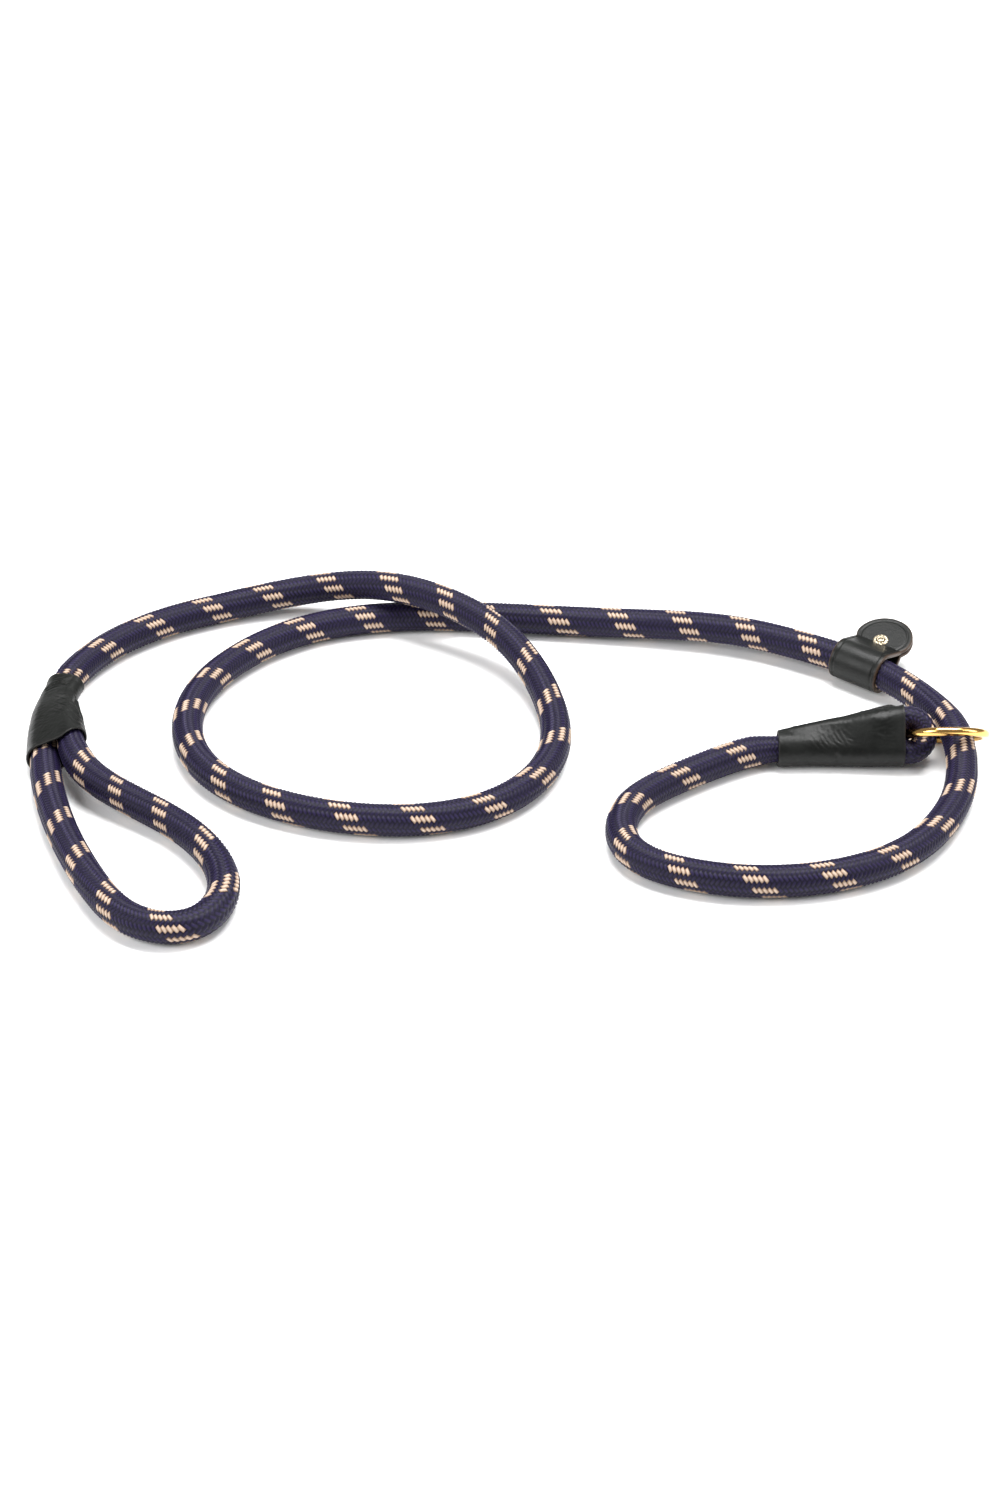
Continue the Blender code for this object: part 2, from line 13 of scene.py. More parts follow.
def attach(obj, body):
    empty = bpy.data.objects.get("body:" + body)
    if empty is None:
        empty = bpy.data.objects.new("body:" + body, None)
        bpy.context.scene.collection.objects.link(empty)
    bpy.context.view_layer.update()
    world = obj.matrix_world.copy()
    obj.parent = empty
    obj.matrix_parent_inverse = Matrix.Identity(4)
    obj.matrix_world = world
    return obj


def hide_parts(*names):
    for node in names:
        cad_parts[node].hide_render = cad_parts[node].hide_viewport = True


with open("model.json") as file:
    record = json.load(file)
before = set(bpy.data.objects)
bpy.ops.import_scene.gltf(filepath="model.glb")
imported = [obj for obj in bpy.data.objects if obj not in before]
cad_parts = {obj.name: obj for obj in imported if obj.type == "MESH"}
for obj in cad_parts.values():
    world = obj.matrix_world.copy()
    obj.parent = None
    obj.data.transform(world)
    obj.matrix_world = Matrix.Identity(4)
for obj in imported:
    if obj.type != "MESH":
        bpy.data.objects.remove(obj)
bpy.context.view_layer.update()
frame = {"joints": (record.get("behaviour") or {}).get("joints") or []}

MM = 0.001
UP = np.array((0.0, 0.0, 1.0))
JOINTS = {joint["name"]: joint for joint in frame["joints"]}

# Camera
CAMERA_PLACE = (-0.0028, -0.929, 0.6565)
CAMERA_TILT = radians(55.0)
CAMERA_LENS = 72.0  # mm
CAMERA_SENSOR = 36.0  # mm, along the long side

# Soft lights aimed at the origin: name, place, size and power in watts
LIGHTS = [
    ("top_softbox", (0.15, 0.35, 1.3), (1.1, 0.7), 38.0),
    ("left_softbox", (-1.1, -0.5, 0.8), (0.7, 0.9), 16.0),
    ("right_softbox", (1.2, -0.2, 0.7), (0.5, 0.9), 9.0),
]
WORLD_LIGHT = 0.30
FLOOR_HALF = 3.0
FLOOR_DROP = 0.2 * MM  # keeps the floor clear of what lies on it
FLOOR_PAPER = ((0.93, 0.93, 0.93), (0.95, 0.95, 0.95))

# Rope
ROPE_RADIUS = 6.0 * MM
CARRIERS = 16  # strands each way
FLECKED = 5  # neighbouring strands of one way that are beige
EYE_FLECKED = 2  # how many of them show in the eye
STITCH_RISE = 0.42 * MM
STITCH_ROUNDNESS = 0.6  # the lower, the flatter a stitch is along its strand
STITCH_UNEVENNESS = 0.1
FLECK_BED = 0.25 * MM  # how far the navy surface dips below the beige strands
FLECK_LIFT = 0.03 * MM
FLECK_DEPTH = 0.55 * MM
FINE = 3  # mesh steps across a strand
ROWS_PER_LAP = 2 * CARRIERS * FINE
SMOOTH_ROWS = 81  # rows over which the measured tables are rounded off
END_MARGIN = 1.5 * MM  # the rope's direction is read no nearer to its ends

# The rope's thickness as a share of ROPE_RADIUS, by distance from its start and from its end
GRIP_MM = [(0.0, 0.84), (5.0, 0.86), (12.0, 1.0), (1128.0, 1.0), (1134.0, 0.88),
           (1139.0, 0.72), (1148.0, 0.75), (1158.0, 0.86), (1182.0, 0.90), (1194.0, 1.0)]
THIN_END_MM = [(0.0, 0.36), (6.0, 0.54), (14.0, 0.72), (28.0, 0.88), (40.0, 1.0)]

# The braid as the photo shows it, by distance along the rope: how many degrees its ribs have
# turned about the rope's line, and how many times a strand has gone round
TURN_MM = [
    (0, 1), (80, -3), (126, -16), (180, -16), (231, -10), (287, -12), (321, 4), (353, 12),
    (368, 8), (400, -8), (415, -10), (462, 8), (500, 15), (531, 26), (576, 29), (611, 37),
    (715, 39), (761, 34), (779, 38), (825, 56), (885, 59), (956, 55), (1001, 46), (1059, 71),
    (1183, 69), (1239, 80), (1258, 75), (1295, 47), (1307, 42), (1354, 48), (1408, 31),
    (1476, 28),
]
LAPS_MM = [
    (0, 0.229), (46, 1.984), (67, 2.812), (81, 3.418), (107, 4.633), (123, 5.307),
    (138, 5.884), (182, 7.490), (255, 10.357), (265, 10.790), (290, 11.967), (298, 12.314),
    (326, 13.328), (357, 14.591), (395, 16.034), (433, 17.517), (460, 18.539), (488, 19.539),
    (609, 24.187), (633, 25.188), (691, 27.728), (726, 29.152), (790, 31.542), (849, 33.845),
    (877, 34.830), (893, 35.425), (917, 36.393), (961, 38.289), (976, 38.902), (998, 39.649),
    (1027, 40.685), (1096, 43.326), (1115, 44.108), (1140, 45.196), (1229, 48.881),
    (1253, 49.926), (1286, 51.226), (1308, 52.195), (1316, 52.480), (1332, 52.935),
    (1363, 53.936), (1379, 54.510), (1391, 55.017), (1408, 55.810), (1413, 56.072),
    (1424, 56.706), (1430, 57.000), (1440, 57.408), (1476, 58.775),
]

# The rope's route, from its start in the ring's sleeve to its end in the handle's sleeve
ROUTE_MM = [
    (104.4, 0.4, 6.3), (92.2, -1.4, 6.2), (68.2, -15.0, 6.0), (45.2, -36.5, 6.0),
    (43.7, -62.0, 6.0), (66.2, -77.5, 6.0), (104.2, -80.5, 6.0), (145.2, -63.0, 6.0),
    (166.7, -29.0, 6.2), (170.0, -11.5, 8.8), (169.3, 1.6, 11.9), (164.2, 19.5, 10.9),
    (147.0, 47.7, 8.4), (127.0, 62.7, 8.4), (103.8, 74.9, 8.4), (78.8, 82.4, 8.4),
    (32.2, 89.4, 6.5), (-47.8, 93.5, 6.0), (-94.8, 74.5, 6.0), (-121.3, 32.0, 6.0),
    (-110.8, -15.0, 6.0), (-61.8, -42.5, 6.0), (-11.8, -38.5, 6.0), (14.7, -10.0, 6.0),
    (16.2, 31.0, 6.8), (-3.8, 69.5, 14.8), (-39.8, 93.0, 19.3), (-74.8, 107.0, 11.6),
    (-117.8, 99.6, 6.0), (-153.8, 76.5, 6.0), (-171.8, 47.0, 5.8), (-175.8, 16.0, 6.3),
    (-168.3, -33.0, 6.0), (-145.8, -86.0, 6.0), (-128.8, -105.0, 6.0), (-110.8, -106.0, 6.0),
    (-100.8, -86.0, 6.0), (-120.8, -47.5, 6.0), (-156.8, -18.0, 9.2), (-169.0, 27.0, 11.0),
]

# Ring and the rope's eye: U runs along the ring's sleeve, W from the eye's lower strand to its
# upper one, and V along the ring's wire in the eye
EYE_CENTRE = np.array(JOINTS["ring_swing"]["pos_m"])
EYE_V = np.array(JOINTS["ring_swing"]["axis"])
EYE_U = np.array((1.0, 0.0, 0.0))
EYE_W = np.cross(EYE_V, EYE_U)
RING_RADIUS = 14.6 * MM
RING_WIRE = 1.65 * MM
EYE_BEND = 6.45 * MM
EYE_HALF_THICKNESS = 4.6 * MM
EYE_HALF_WIDTH = 6.1 * MM
EYE_LAY = 25.2 * MM  # length in which a strand goes once round
EYE_TURN = radians(108.0)

# The two strands behind the eye, as distance before the eye, the lower strand's place on W and
# half thickness, the upper strand's, then the half width and place on V that they share
EYE_RUN_MM = [
    (0.0, -6.45, 4.6, 6.45, 4.6, 6.1, 0.0),
    (1.6, -6.2, 4.7, 6.2, 4.7, 6.05, -0.15),
    (3.0, -5.25, 5.2, 5.2, 5.15, 6.0, -0.3),
    (6.0, -5.15, 5.1, 5.0, 4.9, 5.9, -0.75),
    (12.0, -5.4, 4.7, 4.5, 4.4, 5.8, -1.0),
    (18.0, -5.3, 4.9, 3.8, 3.6, 5.6, -1.2),
    (24.0, -5.2, 5.0, 3.0, 2.6, 5.5, -1.25),
    (30.0, -5.1, 5.2, 2.6, 1.8, 5.4, -1.3),
    (38.0, -5.0, 5.2, 1.4, 1.3, 5.3, -1.4),
    (44.0, -5.05, 5.25, 0.5, 1.0, 5.3, -1.4),
    (49.0, -5.1, 5.3, -0.6, 0.8, 5.3, -1.35),
]
FLAT_STRAND = 0.15  # extra share of its width that a flattened strand keeps
EYE_START = 45.0 * MM  # where the lower strand begins
EYE_TAIL = 30.0 * MM  # where the upper strand ends
RING_SLEEVE = (2.3 * MM, 49.0 * MM)
RING_WHIPPING = (8.0 * MM, 16.0 * MM)

# Handle sleeve, as distances along the rope; both its ends are cut back on its inner side
HANDLE_TOP = 1135.4 * MM
HANDLE_TOP_SLANT = 5.0 * MM
HANDLE_MOUTH = 1184.0 * MM
HANDLE_MOUTH_SLANT = 7.5 * MM
HANDLE_WHIPPING = (1160.0 * MM, 1168.0 * MM)
HANDLE_SEAM_PLACE = 0.04  # share of the way round, below the right side
TAIL_REACH = 60.0 * MM  # length of the rope's end that may lie in the sleeve
TAIL_FADE = 7.0 * MM  # length past the rope's end in which the sleeve closes in

# Both sleeves and their threads
LEATHER = 0.9 * MM
SLEEVE_CLEARANCE = 0.6 * MM
SLEEVE_SIDES = 200
SLEEVE_ROWS = 120
INNER_ROWS = 24
RIM_ROWS = 5
RIM_BULGE = 0.45  # as a share of the leather
SLEEVE_STATIONS = 40
SEAM_DEPTH = 0.35 * MM
SEAM_WIDTH = 0.45 * MM
THREAD = 0.7 * MM
WHIPPING_GAP = 0.3 * MM  # between the strands and the thread that binds them
DENT = THREAD + 0.6 * MM  # how much the whipping narrows a strand
STITCH_LENGTH = 2.3 * MM
STITCH_PITCH = 3.4 * MM
STITCH_RADIUS = 0.36 * MM

# Fine creases of each sleeve's leather: depth and spacing in mm, length as a multiple of the
# spacing, slant in degrees, and the seed of their noise
RING_GRAIN = [(0.05, 0.9, 5.0, 8.0, 8.4), (0.05, 1.7, 2.5, -30.0, 2.2)]
HANDLE_GRAIN = [(0.05, 1.0, 4.5, 28.0, 1.7), (0.05, 1.4, 3.0, -24.0, 5.2)]

# Folds in each sleeve's leather: places (along, around), width and depth in mm, where a negative
# depth makes a ridge. The ring's sleeve has a dimple, and the row of folds in short_fold.
RING_DIMPLE = ([(20.6, 16.5), (21.8, 19.0), (22.0, 22.5)], 0.9, 0.30)
SHORT_FOLDS = 10
HANDLE_FOLDS = [
    ([(10.0, 17.5), (7.6, 15.0), (6.4, 11.6), (7.4, 7.6)], 0.42, -0.50),
    ([(4.8, 15.0), (5.0, 12.0), (7.2, 7.6)], 0.36, -0.40),
    ([(12.6, 17.0), (10.0, 13.0), (9.6, 9.0)], 0.5, 0.14),
    ([(9.0, -2.0), (12.0, 2.6), (17.0, 4.2), (24.0, 3.2), (31.0, 0.5)], 0.75, 0.55),
    ([(17.0, 12.0), (21.0, 7.0), (27.0, 5.0)], 0.5, 0.14),
    ([(21.0, 14.0), (26.0, 8.5), (32.0, 6.0)], 0.45, 0.12),
    ([(26.0, 15.0), (31.0, 10.0), (36.0, 7.5)], 0.45, 0.12),
]

# Fan of fine folds near the ring sleeve's mouth, spreading from a place on its leather
FAN_PLACE = (32.0 * MM, 12.4 * MM)  # along and around
FAN_DEPTH = 0.07 * MM
RIDGE_END = 42.8 * MM  # where the sewn ridge meets the smooth band at the mouth

# Stop, in the frame of the arc that it slides along; it differs from its solid by up to 1 mm
STOP_ARC_CENTRE = np.array(JOINTS["stop_slide"]["pos_m"])
STOP_ARC_RADIUS = 150.0 * MM
STOP_ANGLE = radians(52.4)
STOP_HEIGHT = 8.4 * MM
STOP_LENGTH = 21.0 * MM
STOP_BORE = 6.4 * MM
STOP_LEATHER = 1.6 * MM
STOP_TAB_RISE = radians(12.0)
TAB_ROUND_CENTRE = 16.3 * MM  # centre of the flaps' round end, from the rope's middle
TAB_RADIUS = 11.5 * MM
TAB_JOIN = 11.0 * MM  # where the flaps meet
FLAP_GAP = 0.15 * MM  # from the middle between the flaps to each of them
TIP_CUT = 0.15 * MM  # left out at each tip
STRAP_EDGE = 0.45 * MM  # roundness of the strap's cut edges
STRAP_COLUMNS = 61
STRAP_ROWS = 260
CREASE_INSET = 2.0 * MM
CREASE_WIDTH = 0.32 * MM
CREASE_DEPTH = 0.28 * MM
STRAP_CROWN = 0.10 * MM

# Rivet: profiles in mm as (height, radius), and for the cap's ring how far its petals shape it
RIVET_REACH = 14.2 * MM
RIVET_PETALS = 10
PETAL_DEPTH = 0.36 * MM
RIVET_RING_MM = [
    (-0.05, 3.10, 0.0), (0.22, 3.14, 0.0), (0.42, 3.02, 0.0), (0.60, 2.78, 0.6),
    (0.72, 2.40, 1.0), (0.76, 2.05, 1.0), (0.66, 1.80, 0.5), (0.30, 1.70, 0.0),
    (-0.30, 1.70, 0.0), (-0.30, 3.05, 0.0),
]
RIVET_HEAD_MM = [(-0.95, 0.05), (-0.93, 1.0), (-0.85, 1.9), (-0.68, 2.6), (-0.40, 3.08),
                 (-0.12, 3.2), (0.05, 3.1), (0.1, 1.45)]
RIVET_END_MM = [(0.2, 1.45), (0.7, 1.5), (0.92, 1.42), (1.0, 1.22), (0.96, 1.0), (0.80, 0.86),
                (0.45, 0.80), (0.2, 0.7), (0.15, 0.05)]


# ---- meshes

def add_object(name, data, location=(0.0, 0.0, 0.0), rotation=(0.0, 0.0, 0.0)):
    made = bpy.data.objects.new(name, data)
    made.location = location
    made.rotation_euler = rotation
    bpy.context.scene.collection.objects.link(made)
    return made


def mesh_object(name, points, faces):
    mesh = bpy.data.meshes.new(name)
    mesh.from_pydata(np.asarray(points).tolist(), [], [list(map(int, face)) for face in faces])
    mesh.validate()
    mesh.shade_smooth()
    return add_object(name, mesh)


def point_values(piece, name, values):
    """Store one number for each vertex, for the piece's material to read."""
    layer = piece.data.attributes.new(name, "FLOAT", "POINT")
    layer.data.foreach_set("value", np.asarray(values, dtype=np.float32).ravel())


def grid_faces(rows, columns, closed_rows=False):
    """Quads of a grid that closes round its columns, and along its rows if asked."""
    row = np.arange(rows if closed_rows else rows - 1)[:, None]
    column = np.arange(columns)[None, :]
    here = row * columns
    there = (row + 1) % rows * columns
    ahead = (column + 1) % columns
    return np.stack([here + column, here + ahead, there + ahead, there + column],
                    axis=-1).reshape(-1, 4)


def cap_faces(rows, columns, start=0):
    """The two end faces of a tube's grid, whose points are counted from a start."""
    first = list(range(start, start + columns))
    return [first[::-1], [point + (rows - 1) * columns for point in first]]


def dress(piece, material, body, solid=None):
    """Give a piece its material and body, and hide the solid that it stands for, if any."""
    piece.data.materials.append(material)
    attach(piece, body)
    if solid:
        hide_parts(solid)


def tube_object(name, rings, closed=False):
    """A tube through rings of points, an array of rows x columns x 3."""
    rows, columns = rings.shape[:2]
    faces = grid_faces(rows, columns, closed).tolist()
    if not closed:
        faces += cap_faces(rows, columns)
    return mesh_object(name, rings.reshape(-1, 3), faces)


def face_outward(piece):
    """Turn a closed mesh's faces outward."""
    mesh = piece.data
    mesh.calc_loop_triangles()
    points = np.array([vertex.co for vertex in mesh.vertices])
    corners = np.array([triangle.vertices for triangle in mesh.loop_triangles])
    if np.linalg.det(points[corners]).sum() < 0.0:
        mesh.flip_normals()
    return piece


def unit(vectors):
    return vectors / np.linalg.norm(vectors, axis=-1, keepdims=True)


def smooth_step(low, high, value):
    share = np.clip((value - low) / (high - low), 0.0, 1.0)
    return share * share * (3.0 - 2.0 * share)


def bell(value, width, middle=0.0):
    """1 at the middle, and nearly 0 from about two widths away."""
    return np.exp(-((value - middle) / width) ** 2)


def lengths_along(points):
    """The distance of each point along the line, or the lines, that they make."""
    steps = np.linalg.norm(np.diff(points, axis=0), axis=-1)
    return np.concatenate([np.zeros_like(steps[:1]), np.cumsum(steps, axis=0)])


def at_lengths(wanted, lengths, points):
    """Points of a line at wanted distances along it."""
    return np.stack([np.interp(wanted, lengths, values) for values in points.T], axis=-1)


def circle_steps(count):
    return np.linspace(0.0, 2.0 * pi, count, endpoint=False)


def round_line(line, first, second, reach_first, reach_second):
    """Rings of points round a line, by their reach along two directions across it."""
    return (line[:, None] + first[:, None] * reach_first[..., None]
            + second[:, None] * reach_second[..., None])


# ---- the rope's line

def smooth_curve(points, samples=12000):
    """A natural cubic spline through the points, evenly sampled along its length."""
    chords = np.linalg.norm(np.diff(points, axis=0), axis=1)
    knots = np.concatenate(([0.0], np.cumsum(np.sqrt(chords))))
    spans = np.diff(knots)
    count = len(points)
    system = np.eye(count)
    target = np.zeros((count, 3))
    for i in range(1, count - 1):
        system[i, i - 1:i + 2] = spans[i - 1], 2.0 * (spans[i - 1] + spans[i]), spans[i]
        rise = (points[i + 1] - points[i]) / spans[i] - (points[i] - points[i - 1]) / spans[i - 1]
        target[i] = 6.0 * rise
    bends = np.linalg.solve(system, target)
    where = np.linspace(0.0, knots[-1], samples)
    low = np.clip(np.searchsorted(knots, where, side="right") - 1, 0, count - 2)
    after = (where - knots[low])[:, None]
    before = (knots[low + 1] - where)[:, None]
    span = spans[low][:, None]
    curve = (bends[low] * before ** 3 + bends[low + 1] * after ** 3) / (6.0 * span)
    curve += (points[low] / span - bends[low] * span / 6.0) * before
    curve += (points[low + 1] / span - bends[low + 1] * span / 6.0) * after
    lengths = lengths_along(curve)
    even = np.linspace(0.0, lengths[-1], samples)
    return even, at_lengths(even, lengths, curve)


ROPE_DISTANCES, ROPE_POINTS = smooth_curve(np.array(ROUTE_MM) * MM)
ROPE_LENGTH = float(ROPE_DISTANCES[-1])


def rope_radius(distance):
    grip = np.interp(distance / MM, *zip(*GRIP_MM))
    thin = np.interp((ROPE_LENGTH - distance) / MM, *zip(*THIN_END_MM))
    return ROPE_RADIUS * grip * thin


ROPE_POINTS[:, 2] = np.maximum(ROPE_POINTS[:, 2], rope_radius(ROPE_DISTANCES))


def rope_point(distance):
    return at_lengths(distance, ROPE_DISTANCES, ROPE_POINTS)


def rope_direction(distance):
    return unit(rope_point(distance + MM) - rope_point(distance - MM))


# ---- braid

def stitch_relief(u, v):
    """Height from 0 to 1 of the braid's surface at whole steps u and v across the two ways.

    Strands run two over and two under, so each stitch is a pillow two cells long and one wide.
    """
    i, along_u = u // FINE, u % FINE / FINE
    j, along_v = v // FINE, v % FINE / FINE
    column = (i + j) % 4
    right_handed = column < 2
    along = np.where(right_handed, along_u, along_v) + column % 2
    across = np.where(right_handed, along_v, along_u)
    height = np.maximum(1.0 - (2.0 * across - 1.0) ** 2, 0.0) ** 0.5
    height *= np.maximum(np.sin(pi * along / 2.0), 0.0) ** STITCH_ROUNDNESS
    strand = np.where(right_handed, j, i)
    scatter = np.modf(np.abs(np.sin(12.99 * strand + 4.1 * column)) * 43.7)[0]
    return height * (1.0 - STITCH_UNEVENNESS + STITCH_UNEVENNESS * scatter)


def right_hand(u, v):
    """Whether the stitch on top at steps u and v belongs to a strand of the first way."""
    return (u // FINE + v // FINE) % 4 < 2


def beige(u, v, strands):
    """Whether that stitch belongs to one of the neighbouring strands that are beige."""
    return right_hand(u, v) & (v // FINE % CARRIERS < strands)


def shell_object(name, quads, upper, lower):
    """A closed piece between two layers of points where quads join them, and the points used."""
    used = np.unique(quads)
    count = len(used)
    place = np.full(len(upper), -1)
    place[used] = np.arange(count)
    top = place[quads]
    edges = np.concatenate([top[:, [k, (k + 1) % 4]] for k in range(4)])
    rim = edges[~np.isin(edges @ (count, 1), edges @ (1, count))]
    walls = np.hstack([rim[:, ::-1], rim + count])
    faces = np.concatenate([top, top[:, ::-1] + count, walls])
    return mesh_object(name, np.concatenate([upper[used], lower[used]]), faces), used


def braid(name, line, side, up, half_side, half_up, turn, first, strands):
    """Two pieces: the closed navy braid round a line, and the beige stitches that lie in it.

    The line's points are the braid's rows, counted from an even first one, and strands is how
    many neighbouring strands are beige.
    """
    rows = len(line)
    columns = CARRIERS * FINE
    row = np.arange(rows)[:, None]
    column = np.arange(columns)[None, :]
    s = 2 * column + row % 2
    u, v = (s + row + first) // 2, (s - row - first) // 2
    relief = stitch_relief(u, v)
    flecked = beige(u, v, strands) & (relief > 0.0)
    angle = s * pi / columns + turn[:, None]

    def surface(height):
        reach_side = (half_side[:, None] - STITCH_RISE + height) * np.cos(angle)
        reach_up = (half_up[:, None] - STITCH_RISE + height) * np.sin(angle)
        return round_line(line, side, up, reach_side, reach_up)

    rise = relief * STITCH_RISE
    navy_points = surface(np.where(flecked, -FLECK_BED, rise))

    # diamonds between three rows, and triangles that close the two end rows
    def point(row, column):
        return row * columns + column % columns

    middle = np.arange(1, rows - 1)[:, None]
    shift = middle % 2
    quads = np.stack([point(middle, column), point(middle - 1, column + shift),
                      point(middle, column + 1), point(middle + 1, column + shift)],
                     axis=-1).reshape(-1, 4)
    last = rows - 1
    ends = np.stack([point(0, column), point(0, column + 1), point(1, column),
                     point(last, column), point(last - 1, column + last % 2),
                     point(last, column + 1)], axis=-1).reshape(-1, 3)
    faces = quads.tolist() + ends.tolist() + cap_faces(rows, columns)
    centre_s = 2 * column + shift + 1
    count = middle + first
    cell_u, cell_v = (centre_s + count - 1) // 2, (centre_s - count - 1) // 2
    is_beige = beige(cell_u, cell_v, strands).ravel()
    navy = mesh_object(name, navy_points.reshape(-1, 3), faces)
    # the relief also drives painted shade in the shader: low places, and the navy under the beige
    # stitches, are painted dark
    point_values(navy, "relief", np.where(flecked, 0.0, relief))
    # the hand drives the painted shade on the ribs of one hand
    point_values(navy, "hand", right_hand(u, v))

    # fibres run along each strand: the map's first axis goes across it, the second along it
    corner_s = centre_s[..., None] + np.array([-1, 0, 1, 0])
    corner_row = count[..., None] + np.array([0, -1, 0, 1])
    map_u = ((corner_s + corner_row) / (2.0 * FINE)).reshape(-1, 4)
    map_v = ((corner_s - corner_row) / (2.0 * FINE)).reshape(-1, 4)
    right_handed = right_hand(cell_u, cell_v).reshape(-1, 1)
    fibres = np.stack([np.where(right_handed, map_v, map_u),
                       np.where(right_handed, map_u, map_v)], axis=-1)
    set_map(navy, fibres.reshape(-1, 2))

    upper = surface(rise + FLECK_LIFT).reshape(-1, 3)
    lower = surface(np.full_like(rise, -FLECK_DEPTH)).reshape(-1, 3)
    flecks, used = shell_object(name + "_flecks", quads[is_beige], upper, lower)
    # the beige stitches' lower layer gets no relief, so their sides are painted with shade
    point_values(flecks, "relief", np.append(relief.ravel()[used], np.zeros(len(used))))
    set_map(flecks, fibres[is_beige].reshape(-1, 2))
    return navy, flecks


def set_map(piece, corners):
    """A UV map whose first corners are given, and whose remaining ones stay at zero."""
    layer = piece.data.uv_layers.new(name="fibres")
    values = np.zeros((len(piece.data.loops), 2), dtype=np.float32)
    values[:len(corners)] = corners
    layer.data.foreach_set("uv", values.ravel())


def even_out(values):
    """Round off the corners of a line of values, which keeps its ends."""
    window = np.hanning(SMOOTH_ROWS + 2)[1:-1]
    half = SMOOTH_ROWS // 2
    before = 2.0 * values[0] - values[half:0:-1]
    after = 2.0 * values[-1] - values[-2:-half - 2:-1]
    return np.convolve(np.concatenate([before, values, after]), window / window.sum(), "valid")


def make_rope(navy_material, beige_material):
    along, laps = np.array(LAPS_MM).T
    first = 2 * int(laps[0] * ROWS_PER_LAP / 2 + 1)
    rows = np.arange(first, int(laps[-1] * ROWS_PER_LAP))
    distances = even_out(np.interp(rows / ROWS_PER_LAP, laps, along * MM))
    line = rope_point(distances)
    ahead = rope_direction(np.clip(distances, END_MARGIN, ROPE_LENGTH - END_MARGIN))
    side = unit(np.cross(UP, ahead))
    up = np.cross(ahead, side)
    radius = rope_radius(distances)
    turn = np.radians(even_out(np.interp(distances / MM, *zip(*TURN_MM))))
    rope, flecks = braid("rope_braid", line, side, up, radius, radius, turn, first, FLECKED)
    dress(rope, navy_material, "lead", "rope_lead")
    dress(flecks, beige_material, "lead")
    return rope, flecks, line


# ---- the rope's eye

def eye_run(distance):
    """The two strands at a distance before the eye, as (W, V, half thickness, half width)."""
    columns = np.array(EYE_RUN_MM).T * MM
    low_w, low_half, high_w, high_half, width, shift = (
        np.interp(distance, columns[0], column) for column in columns[1:])
    high_width = width * min(1.0, high_half / low_half + FLAT_STRAND)
    return (low_w, shift, low_half, width), (high_w, shift, high_half, high_width)


def squeeze(strand, distance):
    """Narrow a strand where the whipping binds it."""
    w, v, half, width = strand
    low, high = RING_WHIPPING
    dent = DENT * (smooth_step(low - MM, low, distance) - smooth_step(high, high + MM, distance))
    return w, v, half - dent, width - dent


def make_eye(navy_material, beige_material):
    """The rope's end folded round the ring's wire and back into the sleeve."""
    def station(distance, strand):
        w, v, half, width = squeeze(eye_run(distance)[strand], distance)
        return *(EYE_CENTRE - EYE_U * distance + EYE_W * w + EYE_V * v), half, width

    stations = [station(distance, 0)
                for distance in np.linspace(EYE_START, 0.0, 60, endpoint=False)]
    for angle in np.linspace(0.0, pi, 41):
        outward = EYE_U * sin(angle) - EYE_W * cos(angle)
        stations.append((*(EYE_CENTRE + outward * EYE_BEND), EYE_HALF_THICKNESS, EYE_HALF_WIDTH))
    stations += [station(distance, 1) for distance in np.linspace(0.0, EYE_TAIL, 40)[1:]]
    stations = np.array(stations)
    lengths = lengths_along(stations[:, :3])
    step = EYE_LAY / ROWS_PER_LAP
    run = at_lengths(np.arange(int(lengths[-1] / step) + 1) * step, lengths, stations)
    line, half, width = run[:, :3], run[:, 3], run[:, 4]
    ahead = unit(np.gradient(line, axis=0))
    side = np.tile(-EYE_V, (len(line), 1))
    side = unit(side - ahead * (side * ahead).sum(axis=1, keepdims=True))
    up = np.cross(ahead, side)
    turn = np.full(len(line), EYE_TURN)
    eye, flecks = braid("rope_eye_braid", line, side, up, width, half, turn, 0, EYE_FLECKED)
    dress(eye, navy_material, "lead", "rope_eye")
    dress(flecks, beige_material, "lead")


# ---- sleeves

def outline(discs, grow, sides):
    """The taut outline round ellipses (p, q, half_p, half_q), each grown, evenly spaced."""
    angle = circle_steps(360)[:, None]
    across, along = np.cos(angle), np.sin(angle)
    p, q, half_p, half_q = np.array(discs).T
    reach_p, reach_q = half_p + grow, half_q + grow
    reach = np.hypot(reach_p * across, reach_q * along)
    furthest = np.argmax(p * across + q * along + reach, axis=1)
    points = np.stack([p + reach_p ** 2 * across / reach, q + reach_q ** 2 * along / reach],
                      axis=-1)[np.arange(len(angle)), furthest]
    points = np.concatenate([points, points[:1]])
    lengths = lengths_along(points)
    return at_lengths(np.arange(sides) / sides * lengths[-1], lengths, points)


def ring_section(distance):
    """Section of the ring's sleeve, as (origin, P axis, Q axis, discs)."""
    return EYE_CENTRE - EYE_U * distance, EYE_W, EYE_V, eye_run(distance)


def handle_section(distance):
    """Section of the handle's sleeve: the lead and, below its end, the returning tail."""
    origin = rope_point(distance)
    direction = rope_direction(distance)
    side = unit(-np.cross(direction, UP))
    up = unit(np.cross(direction, side))
    radius = rope_radius(distance)
    end = ROPE_DISTANCES > ROPE_LENGTH - TAIL_REACH
    nearest = np.argmin(np.abs((ROPE_POINTS[end] - origin) @ direction))
    tail = ROPE_DISTANCES[end][nearest]
    offset = rope_point(tail) - origin
    fade = max(0.0, 1.0 - max(0.0, -(offset @ direction)) / TAIL_FADE)
    tail_radius = rope_radius(tail) * fade
    discs = [(0.0, 0.0, radius, radius),
             (offset @ side * fade, offset @ up * fade, tail_radius, tail_radius)]
    return origin, side, up, discs


